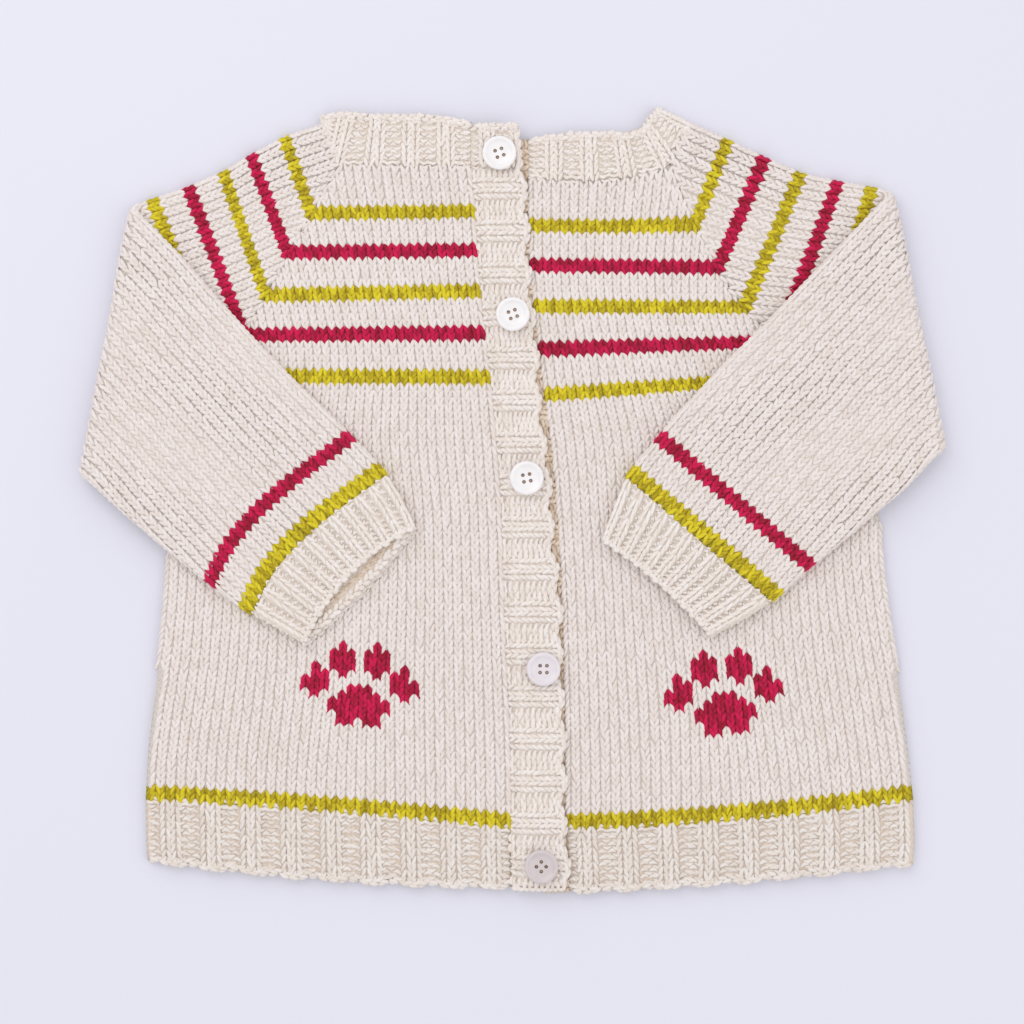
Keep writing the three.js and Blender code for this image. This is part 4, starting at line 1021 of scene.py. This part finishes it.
def neck_ground():
    """One strip: right front half, over the fold, back half, over the fold, left front half."""
    steps = []
    for table, turn in ((NECKS["right"], 0.0), (NECK_BACK, np.pi), (NECKS["left"][::-1], 0.0)):
        run = band_run(table)
        s = np.linspace(0, run[-1], int(run[-1] / NECK_STEP))
        ends = np.stack([along(run, table[:, k], s) for k in range(4)], -1)
        steps.append((ends, np.full(len(s), turn)))
    arc = np.pi * np.arange(1, 6) / 6
    first, last = steps[0][0][-1:], steps[1][0][-1:]
    ends = np.concatenate([steps[0][0], np.repeat(first, 5, 0), steps[1][0], np.repeat(last, 5, 0), steps[2][0]])
    turn = np.concatenate([steps[0][1], arc, steps[1][1], arc[::-1], steps[2][1]])
    hand = np.sign(ends[:, 0])
    v = np.linspace(-0.01, 1, 8)
    edge = ends[:, 2:] - ends[:, :2]
    edge /= np.linalg.norm(edge, axis=1, keepdims=True)
    out = np.stack([edge[:, 1], -edge[:, 0]], -1) * hand[:, None]
    top = turn < 1.5
    stitch = np.where(hand < 0, band_run(ends), band_run(ends[::-1])[::-1]) / NECK_PITCH
    fall = np.where(top, NECK_DEPTH * rib_fall(stitch, 2), 0)
    faces = []
    for radius in (TUBE_ROUND - np.where(top, PILE + 0.1, 0) - fall, np.full(len(turn), 0.15)):
        xy = ends[:, None, :2] + (ends[:, None, 2:] - ends[:, None, :2]) * v[None, :, None]
        xy = xy + (out * (radius * np.sin(turn))[:, None])[:, None]
        z = np.repeat((TUBE_ROUND + radius * np.cos(turn))[:, None], len(v), 1)
        faces.append(np.concatenate([xy, z[..., None]], -1))
    knit = np.stack(np.broadcast_arrays(stitch[:, None], NECK_ROWS * v[None]), -1)
    piece = cloth_wall("neckband_ground", *faces, knit, np.full((len(turn) - 1, 7), RIB))
    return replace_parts(piece, "neckband")


neck_groups = []
for side in ("right", "left"):
    place = neck_place(side)
    count = int(band_run(NECKS[side])[-1] / NECK_PITCH) + 2
    knit_s, knit_r, purl_s, purl_r = rib_cells(count, NECK_ROWS, 2)
    neck_groups += [knit_legs(place, knit_s, knit_r, 0.76), purl_bumps(place, purl_s, purl_r, 0.95),
                    chain_edge(place, count, NECK_ROWS - 0.6, 0.85)]
neck_groups = join(*neck_groups)
neck_stitches = strands("neckband_stitches", *neck_groups, np.full(len(neck_groups[0]), RIB), "cream_rib")
declare_sheet(neck_ground(), 245, 19, [neck_stitches])

# Front bands: two-by-two rib picked up along each front edge and knitted outwards, so that its
# ribs run across it. The buttonhole band steps up from its seam and lies on the button band.
# height up the front, free edge x of the buttonhole band
BUTTONHOLE_EDGE = np.array([(139.3, 2.9), (119.5, 4.7), (90.7, 6.5), (65.5, 8.3), (40.3, 10.6), (11.5, 13.5),
                            (-31.7, 17.3), (-67.7, 18.6), (-110.9, 19.8), (-135.9, 20.5)])
BAND_TOP, BAND_BOTTOM = 139.3, -134.7
UNDER_TOP, UNDER_BOTTOM = 134.4, -135.6
BAND_STITCHES = 72  # picked up from neck to hem
BAND_ROWS = 9
NECK_LINE = 124.6  # the neckband's ribs run on above here
TOP_STITCHES = 6
TOP_ROWS = 6


def selvedge(place, stitch, rows):
    """Side edge of a rib: a strand for each row, that bows out over the start of the next one."""
    row, edge = np.arange(float(rows)), np.full(rows, float(stitch))
    bow = ((0.0, -0.3, -0.2), (0.2, 0.45, 0.1), (0.0, 1.2, -0.2))
    start, mid, end = [place(edge + a, row + b, height) for a, b, height in bow]
    above = place(edge, row + 0.45, 1.4)
    return [start, mid, end, above - mid, np.full(rows, 0.85), np.full(rows, 0.7)]


def opening_x(side, y):
    """Where the opening edge of a front is at a height up the front."""
    return along(FRONTS[side][:, 4], FRONTS[side][:, 3], y)


def upper_band_surface(y, part, height):
    """Point of the buttonhole band at a height up the front and a part of its width from the seam.
    Its free edge waves out at each rib."""
    stitch = (y - BAND_TOP) / (BAND_BOTTOM - BAND_TOP) * BAND_STITCHES
    left, right = opening_x("right", y) + 0.25, along(BUTTONHOLE_EDGE[:, 0], BUTTONHOLE_EDGE[:, 1], y) - 1.3
    wave = np.where(y < NECK_LINE, 1.0 * np.cos(np.pi / 2 * (stitch - 2)) + 0.4 * np.sin(y * 0.13), 0)
    x = left + (right - left + wave * np.clip(part, 0, 1)**2) * part
    step = smoothstep((x - left - 1.0) / 3.0)
    z = FRONT_FLOOR + (UPPER_FLOOR - FRONT_FLOOR) * step + CLOTH - PILE - edge_drop(right + wave - x, 0.9)
    return np.stack([x, y, z + height], -1)


def upper_band_place(stitch, row, height):
    """Surface of the buttonhole band: stitches count down from the neck, rows from the seam."""
    y = BAND_TOP + (BAND_BOTTOM - BAND_TOP) * stitch / BAND_STITCHES
    return upper_band_surface(y, row / BAND_ROWS, height - np.where(y < NECK_LINE, rib_fall(stitch, 1, row), 0))


def band_top_place(stitch, row, height):
    """Surface of the end of the neckband, which closes over the top of the band: stitches count
    from the seam of the band, rows up from the seam of the neckband."""
    stitch, row = np.broadcast_arrays(stitch, row)
    y = NECK_LINE + row * (BAND_TOP - NECK_LINE) / TOP_ROWS
    return upper_band_surface(y, stitch / TOP_STITCHES, height)


def lower_band_place(stitch, row, height):
    """Surface of the button band: rows count from its free edge, under the other band."""
    y = UNDER_TOP + (UNDER_BOTTOM - UNDER_TOP) * stitch / BAND_STITCHES
    left, right = opening_x("right", y) + 4.8, opening_x("left", y) - 0.1
    x = left + (right - left) * row / BAND_ROWS
    return np.stack([x, y, FRONT_FLOOR + CLOTH - PILE + height - rib_fall(stitch, 1)], -1)


def band_ground(name, node, place, floor, yarn):
    """The wall of a band under its stitches, from its surface down to floor(place, row, stitch)."""
    stitch, row = np.meshgrid(np.linspace(0, BAND_STITCHES, 3 * BAND_STITCHES + 1),
                              np.linspace(-0.14, BAND_ROWS, 2 * BAND_ROWS + 1), indexing="ij")
    outer = place(stitch, row, -0.1)
    inner = place(stitch, row, 0.0)
    inner[..., 2] = floor(place, row, stitch)
    outer[..., 2] = np.maximum(outer[..., 2], inner[..., 2] + 0.5)
    yarns = np.full((3 * BAND_STITCHES, 2 * BAND_ROWS), yarn)
    piece = cloth_wall(name, outer, inner, np.stack([stitch, row], -1), yarns)
    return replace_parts(piece, node)


def upper_floor(place, row, stitch):
    """Height of the buttonhole band's underside, which steps up beside its seam."""
    p = place(stitch, row, 0.0)
    left = opening_x("right", p[..., 1]) + 0.4
    return FRONT_FLOOR + (UPPER_FLOOR - FRONT_FLOOR) * smoothstep((p[..., 0] - left - 1.0) / 3.0)


upper_band = band_ground("buttonhole_band_ground", "buttonhole_band", upper_band_place, upper_floor, RIB)
# the button band's ground and stitches are in the tan yarn: painted shade under the buttonhole band
lower_band = band_ground("button_band_ground", "button_band", lower_band_place, lambda *_: FRONT_FLOOR, SHADED)
below = int(np.ceil((BAND_TOP - NECK_LINE) / (BAND_TOP - BAND_BOTTOM) * BAND_STITCHES))
knit_s, knit_r, purl_s, purl_r = rib_cells(BAND_STITCHES, BAND_ROWS, 1)
knit, purl = knit_s >= below, purl_s >= below
top_knit_s, top_knit_r, top_purl_s, top_purl_r = rib_cells(TOP_STITCHES, TOP_ROWS, 1)
# knitted from the seam outwards, its stitches point back at the seam
upper_groups = join(knit_legs(upper_band_place, knit_s[knit], knit_r[knit]),
                    purl_bumps(upper_band_place, purl_s[purl], purl_r[purl]),
                    chain_edge(upper_band_place, BAND_STITCHES, BAND_ROWS - 0.25),
                    selvedge(upper_band_place, BAND_STITCHES + 0.1, BAND_ROWS),
                    knit_legs(band_top_place, top_knit_s, top_knit_r, 0.8),
                    purl_bumps(band_top_place, top_purl_s, top_purl_r, 0.95),
                    chain_edge(band_top_place, TOP_STITCHES, TOP_ROWS - 0.6, 0.85))
upper_stitches = strands("buttonhole_band_stitches", *upper_groups, np.full(len(upper_groups[0]), RIB), "cream_rib")
shown_rows = 5
lower_turned = lambda stitch, row, height: lower_band_place(stitch, BAND_ROWS - row, height)
knit_s, knit_r, purl_s, purl_r = rib_cells(BAND_STITCHES, shown_rows, 1, ())
lower_groups = join(knit_legs(lower_turned, knit_s, knit_r), purl_bumps(lower_turned, purl_s, purl_r),
                    selvedge(lower_turned, BAND_STITCHES, shown_rows))
lower_stitches = strands("button_band_stitches", *lower_groups, np.full(len(lower_groups[0]), SHADED), "cream_rib")
declare_sheet(upper_band, 24, 280, [upper_stitches])
declare_sheet(lower_band, 24, 280, [lower_stitches])

# Buttons: pearly white, turned with a raised rim round a shallow dish, drilled with four holes and
# sewn through to the button band with cream thread.
# centre x and y, turn of the holes in degrees
BUTTONS = [(-4.5, 128.7, 20), (0.3, 70.9, 20), (5.3, 12.2, 10), (11.3, -56.3, 0), (10.5, -127.1, 45)]
BUTTON_FLOOR = UPPER_FLOOR + CLOTH + 0.3
# radius and height of the profile, from the middle of the underside over the rim to the dish
BUTTON_PROFILE = np.array([
    (0, 0), (2.4, 0), (4.6, 0), (5.3, 0.25), (5.8, 0.75), (6.05, 1.2), (6.1, 1.6), (6.0, 1.95), (5.75, 2.25), (5.4, 2.4),
    (5.05, 2.38), (4.75, 2.2), (4.45, 1.98), (4.1, 1.78), (3.5, 1.6), (2.6, 1.48), (1.6, 1.42), (0, 1.4)])
HOLE_RADIUS = 0.66
HOLE_OFFSET = 1.22
BUTTON_TURNS = 72


def pearl_finish(name, tone):
    """Pearl shell, clouded between two whites, each of them times the tone of the button, which
    on the lowest two is painted shade.
    """
    finish = Finish(name, Roughness=0.28, Coat_Weight=0.6, Coat_Roughness=0.12, IOR=1.5)
    cloud = finish.noise(420.0, 3.0)
    low, high = [tuple(np.array(white) * tone) for white in ((0.82, 0.785, 0.80), (0.95, 0.91, 0.90))]
    finish.feed("Base Color", finish.mix(cloud, low, high))
    finish.bump(finish.noise(900.0), 0.15, 0.00008)
    return finish.material


def turned_button(name):
    """The profile carried round the axis, its ends closed with a fan of faces each."""
    rim, turn = BUTTON_PROFILE[1:-1], 2 * np.pi * np.arange(BUTTON_TURNS) / BUTTON_TURNS
    ring = np.stack([rim[None, :, 0] * np.cos(turn)[:, None], rim[None, :, 0] * np.sin(turn)[:, None],
                     np.broadcast_to(rim[:, 1], (BUTTON_TURNS, len(rim)))], -1)
    points = np.concatenate([ring.reshape(-1, 3), [(0, 0, 0), (0, 0, BUTTON_PROFILE[-1, 1])]])
    count = len(rim)
    number = np.arange(BUTTON_TURNS * count).reshape(BUTTON_TURNS, count)
    following = np.roll(number, -1, 0)
    quads = np.stack([number[:, :-1], following[:, :-1], following[:, 1:], number[:, 1:]], -1).reshape(-1, 4)
    low, high = BUTTON_TURNS * count, BUTTON_TURNS * count + 1
    foot = [(low, int(b), int(a)) for a, b in zip(number[:, 0], following[:, 0])]
    dish = [(high, int(a), int(b)) for a, b in zip(number[:, -1], following[:, -1])]
    mesh = bpy.data.meshes.new(name)
    mesh.from_pydata((points * MM).tolist(), [], quads.tolist() + foot + dish)
    return mesh


# painted shade: the lowest two buttons are greyed, as they lie in shade
PEARL_PAINTED_SHADE = [(1, 1, 1), (1, 1, 1), (1, 1, 1), (0.86, 0.83, 0.86), (0.71, 0.65, 0.65)]  # the lowest two are greyer
# painted shade: the cream thread in the holes is coloured brown, as down in them it lies in shade
THREAD_IN_PAINTED_SHADE = yarn_finish("button_thread_in_shade", ((0.62, 0.47, 0.35), (0.42, 0.28, 0.19)))
STRAND_TOP = 0.95  # the thread in the holes ends below the dish
for k, (x, y, degrees) in enumerate(BUTTONS):
    button = bpy.data.objects.new(f"pearl_button_{k + 1}", turned_button("button"))
    bpy.context.scene.collection.objects.link(button)
    drills = []
    for a, b in ((1, 1), (-1, 1), (-1, -1), (1, -1)):
        bpy.ops.mesh.primitive_cylinder_add(vertices=28, radius=HOLE_RADIUS * MM, depth=8 * MM,
                                            location=(a * HOLE_OFFSET * MM, b * HOLE_OFFSET * MM, 0))
        drills.append(bpy.context.object)
        cut = button.modifiers.new("hole", "BOOLEAN")
        cut.object, cut.operation, cut.solver = drills[-1], "DIFFERENCE", "EXACT"
    bpy.context.view_layer.update()
    drilled = bpy.data.meshes.new_from_object(button.evaluated_get(bpy.context.evaluated_depsgraph_get()))
    button.modifiers.clear()
    button.data = drilled
    for drill in drills:
        bpy.data.objects.remove(drill)
    co = np.empty(3 * len(drilled.vertices), np.float32)
    drilled.vertices.foreach_get("co", co)
    co = co.reshape(-1, 3)
    a = np.radians(degrees)
    spun = co @ np.array([[np.cos(a), np.sin(a), 0], [-np.sin(a), np.cos(a), 0], [0, 0, 1]], np.float32)
    spun = spun + (np.array([x, y, BUTTON_FLOOR]) + PLACE) * MM
    drilled.vertices.foreach_set("co", spun.astype(np.float32).ravel())
    drilled.materials.clear()
    drilled.materials.append(pearl_finish(f"pearl_{k + 1}", PEARL_PAINTED_SHADE[k]))
    drilled.update()
    for polygon in drilled.polygons:
        polygon.use_smooth = True
    drilled.set_sharp_from_angle(angle=np.radians(40))
    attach(button, "root")
    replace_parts(button, f"button_{k + 1}")
    middle = np.array([x, y, BUTTON_FLOOR])
    holes = np.array([(1, 1), (-1, 1), (-1, -1), (1, -1)]) * HOLE_OFFSET
    holes = holes @ np.array([[np.cos(a), np.sin(a)], [-np.sin(a), np.cos(a)]])
    holes = middle + np.concatenate([holes, np.zeros((4, 1))], 1)
    lift = [np.array([0, 0, h]) for h in (0.1, STRAND_TOP / 2, STRAND_TOP)]
    thread = strands(f"button_thread_in_shade_{k + 1}", *[holes + h for h in lift], np.tile([1.0, 0, 0], (4, 1)),
                     HOLE_RADIUS - 0.02, HOLE_RADIUS - 0.02, np.zeros(4, int), "cream_rib")
    thread.data.materials[0] = THREAD_IN_PAINTED_SHADE

# Table: a plain pale surface, a soft even light from above and the camera straight down.
FRAME_WIDTH = 368.6  # width of the picture on the cardigan, mm
LENS = 80.0
surface = Finish("surface", Roughness=0.9)
surface.feed("Base Color", (0.752, 0.743, 0.826, 1.0))
bpy.ops.mesh.primitive_plane_add(size=6.0, location=(0, 0, -0.0002))
table_top = bpy.context.object
table_top.name = "table_top"
table_top.data.materials.append(surface.material)
world = bpy.data.worlds.new("soft_light")
bpy.context.scene.world = world
world.use_nodes = True
world.node_tree.nodes["Background"].inputs["Color"].default_value = (0.97, 0.98, 1.0, 1.0)
world.node_tree.nodes["Background"].inputs["Strength"].default_value = 0.87
for title, energy, size, where, aim in (("window", 3.6, 1.1, (-0.55, 0.6, 0.85), (0, 0, 0)),
                                        ("fill", 2.0, 1.2, (0.8, -0.3, 0.9), (0, 0, 0))):
    lamp = bpy.data.lights.new(title, "AREA")
    lamp.energy, lamp.size = energy, size
    holder = bpy.data.objects.new(title, lamp)
    holder.location = where
    direction = np.array(aim) - np.array(where)
    holder.rotation_euler = Vector(direction).to_track_quat("-Z", "Y").to_euler()
    bpy.context.scene.collection.objects.link(holder)
lens = bpy.data.cameras.new("camera")
lens.lens, lens.sensor_width = LENS, 36.0
lens.clip_start, lens.clip_end = 0.01, 10.0
camera = bpy.data.objects.new("camera", lens)
camera.location = (PLACE[0] * MM, PLACE[1] * MM, (FRAME_WIDTH * LENS / 36.0 + 4.5) * MM)
bpy.context.scene.collection.objects.link(camera)
bpy.context.scene.camera = camera
bpy.context.scene.view_settings.view_transform = "Standard"
